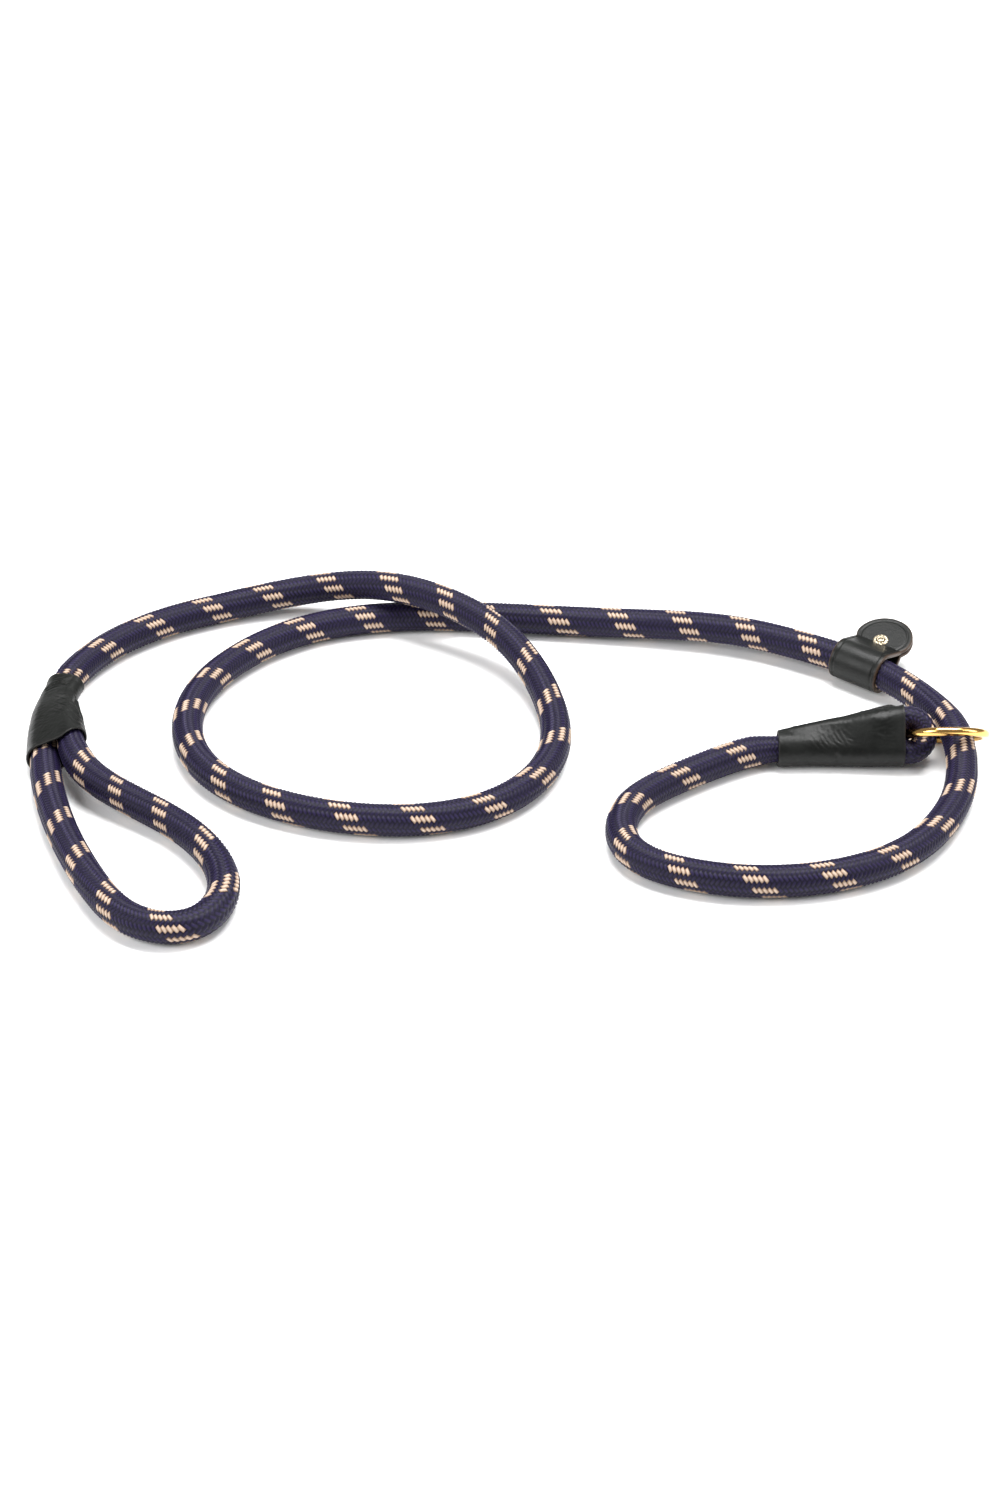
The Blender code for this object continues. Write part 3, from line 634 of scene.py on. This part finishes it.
def skin_of(section_at, ends, grow, rows):
    """Points of a sleeve's skin, where each column has its own two ends."""
    low, high = np.min(ends), np.max(ends)
    rings = []
    for station in np.linspace(low, high, SLEEVE_STATIONS):
        origin, p_axis, q_axis, discs = section_at(station)
        flat = outline(discs, grow, SLEEVE_SIDES)
        rings.append(origin + p_axis * flat[:, :1] + q_axis * flat[:, 1:])
    rings = np.array(rings)
    share = np.linspace(0.0, 1.0, rows)[:, None]
    wanted = ends[0] * (1.0 - share) + ends[1] * share
    where = (wanted - low) / (high - low) * (SLEEVE_STATIONS - 1)
    before = np.clip(np.floor(where).astype(int), 0, SLEEVE_STATIONS - 2)
    after = (where - before)[..., None]
    column = np.arange(SLEEVE_SIDES)[None, :]
    return rings[before, column] * (1.0 - after) + rings[before + 1, column] * after


def outward_of(points):
    """Unit normals of a sleeve's grid, away from its middle."""
    along = np.gradient(points, axis=0)
    around = np.roll(points, -1, axis=1) - np.roll(points, 1, axis=1)
    normals = unit(np.cross(around, along))
    middle = points.mean(axis=1, keepdims=True)
    sign = np.sign((normals * (points - middle)).sum(axis=-1).mean())
    return normals * sign


def crease(along, around, girth, places, width, depth):
    """A valley along a line through places in mm, with a soft lip beside it."""
    places = np.array(places) * MM
    away = np.ones(along.shape)
    share = np.zeros(along.shape)
    lengths = np.linalg.norm(np.diff(places, axis=0), axis=1)
    passed = 0.0
    for start, end, length in zip(places[:-1], places[1:], lengths):
        way = (end - start) / length
        beside = (around - start[1] + girth / 2.0) % girth - girth / 2.0
        forward = along - start[0]
        run = np.clip(forward * way[0] + beside * way[1], 0.0, length)
        here = np.hypot(forward - run * way[0], beside - run * way[1])
        nearer = here < away
        away = np.where(nearer, here, away)
        share = np.where(nearer, (passed + run) / lengths.sum(), share)
        passed += length
    fade = np.sin(pi * np.clip(share, 0.02, 0.98)) ** 0.5
    valley = bell(away, width * MM)
    lip = bell(away, 1.2 * width * MM, 1.9 * width * MM)
    return fade * depth * MM * (0.45 * lip - valley)


def ridged_noise(x, y, seed):
    """Noise with sharp ridges, up to 1."""
    values = [1.0 - 2.6 * abs(noise.noise(Vector((a, b, seed)))) for a, b in zip(x.flat, y.flat)]
    return np.array(values).reshape(x.shape)


def wrinkles(along, around, spacing, stretch, slant, seed):
    """Ridged noise that runs across the leather at a slant."""
    turn_cos, turn_sin = cos(radians(slant)), sin(radians(slant))
    forward = (along * turn_cos + around * turn_sin) / (spacing * MM)
    beside = (around * turn_cos - along * turn_sin) / (spacing * stretch * MM)
    return ridged_noise(forward, beside, seed)


def make_sleeve(name, section_at, ends, relief, solid, leather):
    """A leather sleeve with its inside, its rounded cut edges and its creased outside."""
    outer = skin_of(section_at, ends, SLEEVE_CLEARANCE + LEATHER, SLEEVE_ROWS)
    normals = outward_of(outer)
    along = lengths_along(outer)
    steps = np.linalg.norm(np.roll(outer, -1, axis=1) - outer, axis=2)
    girth = steps.sum(axis=1, keepdims=True)
    around = np.cumsum(steps, axis=1) - steps
    moved = relief(along, around, girth)
    outer = outer + normals * moved[..., None]
    inner = skin_of(section_at, ends, SLEEVE_CLEARANCE, INNER_ROWS)[::-1]

    def rim(outside, inside, away):
        """Rows that round a cut edge, from the outer skin to the inner one."""
        middle, reach = (outside + inside) / 2.0, (outside - inside) / 2.0
        return [middle + reach * cos(turn) + away * sin(turn) * RIM_BULGE * LEATHER
                for turn in np.linspace(0.0, pi, RIM_ROWS + 2)[1:-1]]

    mouth = rim(outer[-1], inner[0], unit(outer[-1] - outer[-2]))
    back = rim(inner[-1], outer[0], unit(outer[0] - outer[1]))
    rings = np.concatenate([outer, mouth, inner, back])
    rings[..., 2] = np.maximum(rings[..., 2], 0.0)
    sleeve = face_outward(tube_object(name, rings, closed=True))
    cut = np.zeros(rings.shape[:2])
    cut[SLEEVE_ROWS - 1:SLEEVE_ROWS + RIM_ROWS + 1] = 1.0
    cut[-RIM_ROWS - 1:] = 1.0
    cut[0] = 0.6
    point_values(sleeve, "cut", cut)
    dress(sleeve, leather, "lead", solid)
    return outer


def short_fold(number):
    """One of the row of short folds across the ring's sleeve."""
    start = 12.0 + 1.45 * number
    top = 8.0 + 0.5 * (number * 7 % 4)
    bottom = 14.0 + 0.8 * (number * 5 % 3)
    return [(start, top), (start + 1.1, top + 3.0), (start + 3.0, bottom)], 0.34, 0.13


def creased(along, around, girth, grain, folds):
    """Heights of leather with fine creases and folds in it."""
    moved = sum(depth * MM * wrinkles(along, around, *pattern) for depth, *pattern in grain)
    for places, width, depth in folds:
        moved += crease(along, around, girth, places, width, depth)
    return moved


def fan_of_folds(along, around):
    away, up = along - FAN_PLACE[0], around - FAN_PLACE[1]
    reach, angle = np.hypot(away, up), np.arctan2(up, away)
    fan = ridged_noise(9.0 * angle + 260.0 * reach, 170.0 * reach, 4.4)
    inside = smooth_step(1.0 * MM, 4.0 * MM, reach) * smooth_step(-1.5, -1.0, angle)
    return FAN_DEPTH * fan * inside * (1.0 - smooth_step(0.5, 0.9, angle))


def ring_sleeve_relief(along, around, girth):
    """Leather drawn over the eye: cross striations, a row of short folds, a fan of fine folds
    towards the mouth, a dimple, a sewn ridge along the top and a smooth band at the mouth."""
    folds = [short_fold(number) for number in range(SHORT_FOLDS)]
    moved = creased(along, around, girth, RING_GRAIN, folds + [RING_DIMPLE])
    moved += fan_of_folds(along, around)
    moved += 0.20 * MM * np.sin(along / (9.0 * MM) + around / (7.0 * MM))
    moved *= 1.0 - smooth_step(RIDGE_END, RIDGE_END + 1.4 * MM, along)
    seam = np.minimum(around, girth - around)
    top = bell(seam, 3.2 * MM)
    moved += 0.2 * MM * top * bell(along, 2.0 * MM, RIDGE_END)
    moved -= 0.9 * MM * top * smooth_step(RIDGE_END + 0.6 * MM, RIDGE_END + 3.2 * MM, along)
    moved += 0.20 * MM * bell(seam, 0.6 * MM, 0.9 * MM)
    return moved - SEAM_DEPTH * bell(seam, SEAM_WIDTH)


def handle_sleeve_relief(along, around, girth):
    """Leather bent with the rope: two raised folds that meet, a deep fold below the kink on
    its inner side, and slanting striations."""
    moved = creased(along, around, girth, HANDLE_GRAIN, HANDLE_FOLDS)
    seam = np.abs(around - girth * (1.0 - HANDLE_SEAM_PLACE))
    return moved - SEAM_DEPTH * bell(seam, SEAM_WIDTH)


def handle_ends():
    """How far along the rope each side of the handle's sleeve begins and ends."""
    turn = np.arange(SLEEVE_SIDES) * 2.0 * pi / SLEEVE_SIDES
    inner_side = np.maximum(np.cos(turn), 0.0) ** 1.5
    return (HANDLE_TOP + HANDLE_TOP_SLANT * inner_side,
            HANDLE_MOUTH - HANDLE_MOUTH_SLANT * inner_side)


def make_stitching(name, outer, column, solid, thread):
    """Stitches sewn along a sleeve, lying on its leather at one column of its grid."""
    seam = outer[:, column]
    normals = outward_of(outer)[:, column]
    lengths = lengths_along(seam)
    count = int((lengths[-1] - 2.0 * STITCH_LENGTH) / STITCH_PITCH) + 1
    margin = (lengths[-1] - (count - 1) * STITCH_PITCH) / 2.0
    share, angles = np.linspace(-1.0, 1.0, 13), circle_steps(8)
    round_end = (1.0 - np.abs(share) ** 3.0)[:, None] ** 0.5
    radius = STITCH_RADIUS * np.maximum(round_end, 0.25)
    points, faces = [], []
    for number in range(count):
        here = margin + number * STITCH_PITCH + share * STITCH_LENGTH / 2.0
        centre = at_lengths(here, lengths, seam)
        beyond = at_lengths(here + 0.2 * MM, lengths, seam)
        outward = unit(at_lengths(here, lengths, normals))
        across = unit(np.cross(beyond - centre, outward))
        centre += outward * STITCH_RADIUS * (0.9 * round_end - 0.8)
        rings = round_line(centre, outward, across, radius * np.cos(angles),
                           radius * np.sin(angles))
        faces += (grid_faces(len(share), len(angles)) + len(points)).tolist()
        faces += cap_faces(len(share), len(angles), len(points))
        points.extend(rings.reshape(-1, 3))
    stitches = face_outward(mesh_object(name, points, faces))
    dress(stitches, thread, "lead", solid)


def make_whipping(name, section_at, span, solid, thread):
    """One thread wound round and round the two strands inside a sleeve."""
    low, high = span
    turns = int((high - low) / THREAD)
    per_turn = 60
    line = []
    for step in range(turns * per_turn):
        place = step / per_turn / turns
        origin, p_axis, q_axis, discs = section_at(low + (high - low) * place)
        dented = [(p, q, a - DENT, b - DENT) for p, q, a, b in discs]
        p, q = outline(dented, WHIPPING_GAP + THREAD / 2.0, per_turn)[step % per_turn]
        line.append(origin + p_axis * p + q_axis * q)
    line = np.array(line)
    ahead = unit(np.gradient(line, axis=0))
    axis = unit(np.cross(*section_at((low + high) / 2.0)[1:3]))
    outward = line - line.mean(axis=0)
    outward = unit(outward - axis * (outward @ axis)[:, None])
    across = unit(np.cross(ahead, outward))
    outward = np.cross(across, ahead)
    angles = circle_steps(6)
    rings = round_line(line, outward, across, THREAD / 2.0 * np.cos(angles),
                       THREAD / 2.0 * np.sin(angles))
    wound = face_outward(tube_object(name, rings))
    dress(wound, thread, "lead", solid)


# ---- ring

def make_ring(brass):
    turn, angles = circle_steps(160)[:, None], circle_steps(32)
    outward = EYE_U * np.cos(turn) + EYE_V * np.sin(turn)
    centre = EYE_CENTRE + EYE_U * RING_RADIUS + outward * RING_RADIUS
    rings = round_line(centre, outward, EYE_W[None], RING_WIRE * np.cos(angles),
                       RING_WIRE * np.sin(angles))
    ring = face_outward(tube_object("brass_ring", rings, closed=True))
    dress(ring, brass, "ring", "ring")


# ---- stop

STOP_OUTWARD = np.array((cos(STOP_ANGLE), sin(STOP_ANGLE), 0.0))
STOP_MIDDLE = STOP_ARC_CENTRE + STOP_OUTWARD * STOP_ARC_RADIUS + UP * STOP_HEIGHT
STOP_ALONG = np.cross(UP, STOP_OUTWARD)
STOP_REACH = STOP_OUTWARD * cos(STOP_TAB_RISE) + UP * sin(STOP_TAB_RISE)
STOP_ACROSS = UP * cos(STOP_TAB_RISE) - STOP_OUTWARD * sin(STOP_TAB_RISE)


def stop_place(side, reach, across):
    """Points of the stop: along the rope, out along the flaps, and across them."""
    side, reach, across = (np.asarray(value)[..., None] for value in (side, reach, across))
    points = STOP_MIDDLE + STOP_ALONG * side + STOP_REACH * reach + STOP_ACROSS * across
    points[..., 2] = np.maximum(points[..., 2], 0.0)
    return points


def strap_line():
    """The strap's inner side in the plane across the rope, from the upper flap's tip round the
    rope to the lower tip, evenly spaced, with its outward directions and arc lengths."""
    leaving = acos(STOP_BORE / TAB_JOIN)
    tip = TAB_ROUND_CENTRE + TAB_RADIUS
    flat = np.array([(reach, FLAP_GAP) for reach in np.linspace(tip, TAB_JOIN + MM, 40)])
    turn = np.linspace(leaving, 2.0 * pi - leaving, 90)[:, None]
    barrel = STOP_BORE * np.hstack([np.cos(turn), np.sin(turn)])
    points = np.concatenate([flat, barrel, flat[::-1] * (1.0, -1.0)])
    lengths = lengths_along(points)
    even = np.linspace(0.0, lengths[-1], STRAP_ROWS)
    line = at_lengths(even, lengths, points)
    for _ in range(3):
        line[1:-1] = (line[:-2] + 2.0 * line[1:-1] + line[2:]) / 4.0
    ahead = unit(np.gradient(line, axis=0))
    outward = np.stack([ahead[:, 1], -ahead[:, 0]], axis=-1)
    return line, outward, even


def make_strap(leather):
    """The strap: its flaps' round ends, its crease along the edge and its rounded cut edges."""
    line, outward, lengths = strap_line()
    from_tip = np.minimum(lengths, lengths[-1] - lengths)
    keep = from_tip > TIP_CUT
    line, outward, from_tip = line[keep], outward[keep], from_tip[keep]
    short = np.maximum(TAB_RADIUS - from_tip, 0.0)[:, None]
    past = from_tip - TAB_RADIUS
    width = np.sqrt(np.maximum(TAB_RADIUS ** 2 - np.minimum(past, 4.0 * MM) ** 2, 0.0))
    width += (STOP_LENGTH / 2.0 - width) * smooth_step(0.5 * MM, 5.0 * MM, past)
    width -= 0.2 * MM * bell(past, 1.5 * MM, 4.2 * MM)
    share = np.sin(np.linspace(-pi / 2.0, pi / 2.0, STRAP_COLUMNS))[None, :]
    side = width[:, None] * share
    edge = np.where(short > 0.0, TAB_RADIUS - np.hypot(side, short),
                    width[:, None] - np.abs(side))
    rounding = STRAP_EDGE - np.sqrt(np.maximum(
        STRAP_EDGE ** 2 - np.maximum(STRAP_EDGE - edge, 0.0) ** 2, 0.0))
    crown = STRAP_CROWN * smooth_step(0.0, CREASE_INSET, edge)
    groove = CREASE_DEPTH * bell(edge, CREASE_WIDTH, CREASE_INSET)
    outer = STOP_LEATHER - rounding - groove + crown

    def layer(thickness):
        reach = line[:, None, 0] + outward[:, None, 0] * thickness
        across = line[:, None, 1] + outward[:, None, 1] * thickness
        return stop_place(side, reach, across)

    rings = np.concatenate([layer(outer), layer(rounding)[:, ::-1]], axis=1)
    strap = face_outward(tube_object("stop_leather", rings))
    cut = bell(edge, 0.5 * MM)
    point_values(strap, "cut", np.concatenate([cut, cut[:, ::-1]], axis=1))
    dress(strap, leather, "stop", "stop_strap")


def turned(profile, steps):
    """Rings turned about the rivet's axis from (height, radius, how far petals shape it)."""
    angles = circle_steps(steps)
    height, radius, share = np.array(profile).T[..., None]
    wave = PETAL_DEPTH * share * (np.abs(np.cos(RIVET_PETALS * angles / 2.0)) - 0.6)
    return stop_place(radius * np.cos(angles), RIVET_REACH + radius * np.sin(angles),
                      height + wave)


def make_rivet(metal):
    """A turned post with a head below the flaps, and the petalled ring of its cap above."""
    over = FLAP_GAP + STOP_LEATHER
    cap = [(over + height * MM, radius * MM, share) for height, radius, share in RIVET_RING_MM]
    ring = face_outward(tube_object("rivet_cap_ring", turned(cap, 160), closed=True))
    dress(ring, metal, "stop", "stop_rivet_cap")
    post = [(-over + height * MM, radius * MM, 0.0) for height, radius in RIVET_HEAD_MM]
    post += [(over + height * MM, radius * MM, 0.0) for height, radius in RIVET_END_MM]
    rivet = face_outward(tube_object("rivet_post", turned(post, 64)))
    dress(rivet, metal, "stop", "stop_rivet")


# ---- materials

def new_material(name, colour, roughness, metallic=0.0):
    made = bpy.data.materials.new(name)
    made.use_nodes = True
    shader = made.node_tree.nodes["Principled BSDF"]
    shader.inputs["Base Color"].default_value = (*colour, 1.0)
    shader.inputs["Roughness"].default_value = roughness
    shader.inputs["Metallic"].default_value = metallic
    return made, made.node_tree, shader


def node(tree, kind, output, links=(), **settings):
    """An output of a new node; settings are its properties or, where named so, its inputs."""
    made = tree.nodes.new("ShaderNode" + kind)
    for key, value in settings.items():
        if hasattr(made, key):
            setattr(made, key, value)
        else:
            made.inputs[key.replace("_", " ")].default_value = value
    for source, socket in links:
        tree.links.new(source, made.inputs[socket])
    return made.outputs[output]


def object_place(tree):
    return node(tree, "TexCoord", "Object")


def attribute(tree, name):
    return node(tree, "Attribute", "Fac", attribute_name=name)


def stretch(tree, source, scale):
    return node(tree, "Mapping", "Vector", [(source, "Vector")], Scale=scale)


def noise_node(tree, source, scale, detail):
    return node(tree, "TexNoise", "Fac", [(source, "Vector")], Scale=scale, Detail=detail)


def mix_colour(tree, factor, first, second):
    mixer = tree.nodes.new("ShaderNodeMix")
    mixer.data_type = "RGBA"
    tree.links.new(factor, mixer.inputs[0])
    for index, colour in ((6, first), (7, second)):
        if isinstance(colour, tuple):
            mixer.inputs[index].default_value = (*colour, 1.0)
        else:
            tree.links.new(colour, mixer.inputs[index])
    return mixer.outputs[2]


def spread_of(tree, source, low, high, to_low=0.0, to_high=1.0):
    return node(tree, "MapRange", "Result", [(source, "Value")], From_Min=low,
                From_Max=high, To_Min=to_low, To_Max=to_high)


def bump(tree, height, distance, strength, under=None):
    links = [(height, "Height")] + ([(under, "Normal")] if under else [])
    return node(tree, "Bump", "Normal", links, Distance=distance, Strength=strength)


def drive(shader, **sources):
    """Link what drives a shader's inputs."""
    for name, source in sources.items():
        shader.id_data.links.new(source, shader.inputs[name.replace("_", " ")])


def fibre_material(name, shade_colour, body, bright, roughness, sheen, painted_rib_shade=False):
    """Braided fibre with fine filaments running along each strand. Shade is painted where its
    surface lies low, between the strands and under the beige ones, and, if asked, on the ribs of
    one hand, painted darker than those of the other as if they caught less light."""
    made, tree, shader = new_material(name, body, roughness)
    fibres = node(tree, "UVMap", "UV", uv_map="fibres")
    streaks = noise_node(tree, stretch(tree, fibres, (9.0, 0.7, 1.0)), 1.6, 2.0)
    patches = noise_node(tree, object_place(tree), 90.0, 3.0)
    top = mix_colour(tree, spread_of(tree, streaks, 0.3, 0.7), body, bright)
    # painted shade: ribs of the second hand are mixed 40% toward the shade colour, as if their
    # fibres caught less light
    if painted_rib_shade:
        hand = spread_of(tree, attribute(tree, "hand"), 0.0, 1.0, 0.60, 1.0)
        top = mix_colour(tree, hand, shade_colour, top)
    # painted shade: the colour runs from the shade colour where the relief is low to the lit
    # colour on the stitches' tops
    shade = spread_of(tree, attribute(tree, "relief"), 0.0, 0.75)
    uneven = spread_of(tree, patches, 0.3, 0.7, 0.0, 0.35)
    filaments = node(tree, "TexWave", "Fac", [(fibres, "Vector")], Scale=2.2,
                     Distortion=0.8, Detail=1.0)
    drive(shader,
          Base_Color=mix_colour(tree, uneven, mix_colour(tree, shade, shade_colour, top), body),
          Roughness=spread_of(tree, streaks, 0.2, 0.8, roughness - 0.1, roughness + 0.1),
          Normal=bump(tree, filaments, 0.05 * MM, 0.6))
    shader.inputs["Sheen Weight"].default_value = sheen
    shader.inputs["Sheen Roughness"].default_value = 0.35
    shader.inputs["Specular IOR Level"].default_value = 0.19
    return made


def leather_material(name, colour, edge_colour, roughness, grain):
    """Black leather: pebbled grain, soft patches of shine and paler raw edges."""
    made, tree, shader = new_material(name, colour, roughness)
    place = object_place(tree)
    pebbles = node(tree, "TexVoronoi", "Distance", [(place, "Vector")], Scale=grain,
                   feature="SMOOTH_F1")
    pores = noise_node(tree, place, grain * 2.5, 4.0)
    patches = noise_node(tree, place, 110.0, 3.0)
    lighter = tuple(value * 1.7 for value in colour)
    body = mix_colour(tree, spread_of(tree, patches, 0.3, 0.7), colour, lighter)
    drive(shader,
          Base_Color=mix_colour(tree, attribute(tree, "cut"), body, edge_colour),
          Roughness=spread_of(tree, patches, 0.3, 0.7, roughness - 0.07, roughness + 0.08),
          Normal=bump(tree, pores, 0.06 * MM, 0.5, bump(tree, pebbles, 0.10 * MM, 0.5)))
    shader.inputs["Specular IOR Level"].default_value = 0.20
    return made


def thread_material():
    made, tree, shader = new_material("waxed_thread", (0.02, 0.02, 0.022), 0.6)
    twist = node(tree, "TexWave", "Fac", [(object_place(tree), "Vector")],
                 Scale=900.0, Distortion=1.0, bands_direction="DIAGONAL")
    drive(shader,
          Base_Color=mix_colour(tree, twist, (0.012, 0.012, 0.014), (0.035, 0.035, 0.038)),
          Normal=bump(tree, twist, 0.05 * MM, 0.6))
    shader.inputs["Sheen Weight"].default_value = 0.2
    return made


def metal_material(name, colour, tarnish, low, high):
    """Polished metal with faint hairline scratches and slightly duller patches."""
    made, tree, shader = new_material(name, colour, (low + high) / 2.0, 1.0)
    place = object_place(tree)
    patches = noise_node(tree, place, 260.0, 4.0)
    hairs = noise_node(tree, stretch(tree, place, (700.0, 3500.0, 1500.0)), 1.0, 2.0)
    shade = spread_of(tree, patches, 0.4, 0.75, 0.0, 0.6)
    drive(shader, Base_Color=mix_colour(tree, shade, colour, tarnish),
          Roughness=spread_of(tree, patches, 0.3, 0.7, low, high),
          Normal=bump(tree, hairs, 0.01 * MM, 0.35))
    return made


# ---- stage

def make_camera():
    data = bpy.data.cameras.new("camera")
    data.lens = CAMERA_LENS
    data.sensor_width = CAMERA_SENSOR
    data.clip_start = 0.01
    data.clip_end = 20.0
    bpy.context.scene.camera = add_object("camera", data, CAMERA_PLACE, (CAMERA_TILT, 0.0, 0.0))


def make_stage():
    """Plain white surroundings, soft lights and a pale paper floor."""
    scene = bpy.context.scene
    scene.view_settings.view_transform = "Standard"
    scene.world = bpy.data.worlds.new("studio")
    scene.world.use_nodes = True
    background = scene.world.node_tree.nodes["Background"]
    background.inputs["Color"].default_value = (1.0, 1.0, 1.0, 1.0)
    background.inputs["Strength"].default_value = WORLD_LIGHT
    for name, place, size, power in LIGHTS:
        data = bpy.data.lights.new(name, "AREA")
        data.shape = "RECTANGLE"
        data.size, data.size_y = size
        data.energy = power
        add_object(name, data, place, (-Vector(place)).to_track_quat("-Z", "Y").to_euler())
    corners = [(x * FLOOR_HALF, y * FLOOR_HALF, -FLOOR_DROP)
               for x, y in ((-1, -1), (1, -1), (1, 1), (-1, 1))]
    floor = mesh_object("floor", corners, [(0, 1, 2, 3)])
    made, tree, shader = new_material("floor_paper", FLOOR_PAPER[0], 0.9)
    grain = noise_node(tree, object_place(tree), 300.0, 3.0)
    drive(shader, Base_Color=mix_colour(tree, grain, *FLOOR_PAPER))
    floor.data.materials.append(made)


# ---- the object

make_camera()
# each fibre's first colour is its painted shade, for where the braid lies low
navy = fibre_material("navy_fibre", shade_colour=(0.0012, 0.0007, 0.004), body=(0.0085, 0.0052, 0.026),
                      bright=(0.028, 0.0205, 0.074), roughness=0.42, sheen=0.02, painted_rib_shade=True)
cream = fibre_material("beige_fibre", shade_colour=(0.17, 0.09, 0.05), body=(0.46, 0.34, 0.26),
                       bright=(0.62, 0.50, 0.40), roughness=0.6, sheen=0.05)
rope, flecks, rope_line = make_rope(navy, cream)
make_eye(navy, cream)

sleeve_leather = leather_material("sleeve_leather", (0.0040, 0.0045, 0.0040),
                                  edge_colour=(0.012, 0.012, 0.011), roughness=0.44, grain=900.0)
stop_leather = leather_material("bridle_leather", (0.0045, 0.0050, 0.0045),
                                edge_colour=(0.055, 0.034, 0.022), roughness=0.38, grain=1500.0)
thread = thread_material()
ring_ends = [np.full(SLEEVE_SIDES, distance) for distance in RING_SLEEVE[::-1]]
ring_outer = make_sleeve("ring_sleeve_leather", ring_section, ring_ends, ring_sleeve_relief,
                         "ring_sleeve", sleeve_leather)
handle_outer = make_sleeve("handle_sleeve_leather", handle_section, handle_ends(),
                           handle_sleeve_relief, "handle_sleeve", sleeve_leather)
handle_seam = round(SLEEVE_SIDES * (1.0 - HANDLE_SEAM_PLACE))
make_stitching("ring_sleeve_stitches", ring_outer, 0, "ring_sleeve_thread", thread)
make_stitching("handle_sleeve_stitches", handle_outer, handle_seam, "handle_sleeve_thread", thread)
make_whipping("ring_whipping_turns", ring_section, RING_WHIPPING, "ring_whipping", thread)
make_whipping("handle_whipping_turns", handle_section, HANDLE_WHIPPING, "handle_whipping", thread)
make_ring(metal_material("polished_brass", (0.80, 0.48, 0.15), (0.56, 0.31, 0.09), 0.10, 0.22))
make_strap(stop_leather)
make_rivet(metal_material("pale_plate", (0.54, 0.47, 0.35), (0.22, 0.18, 0.12), 0.26, 0.46))
make_stage()
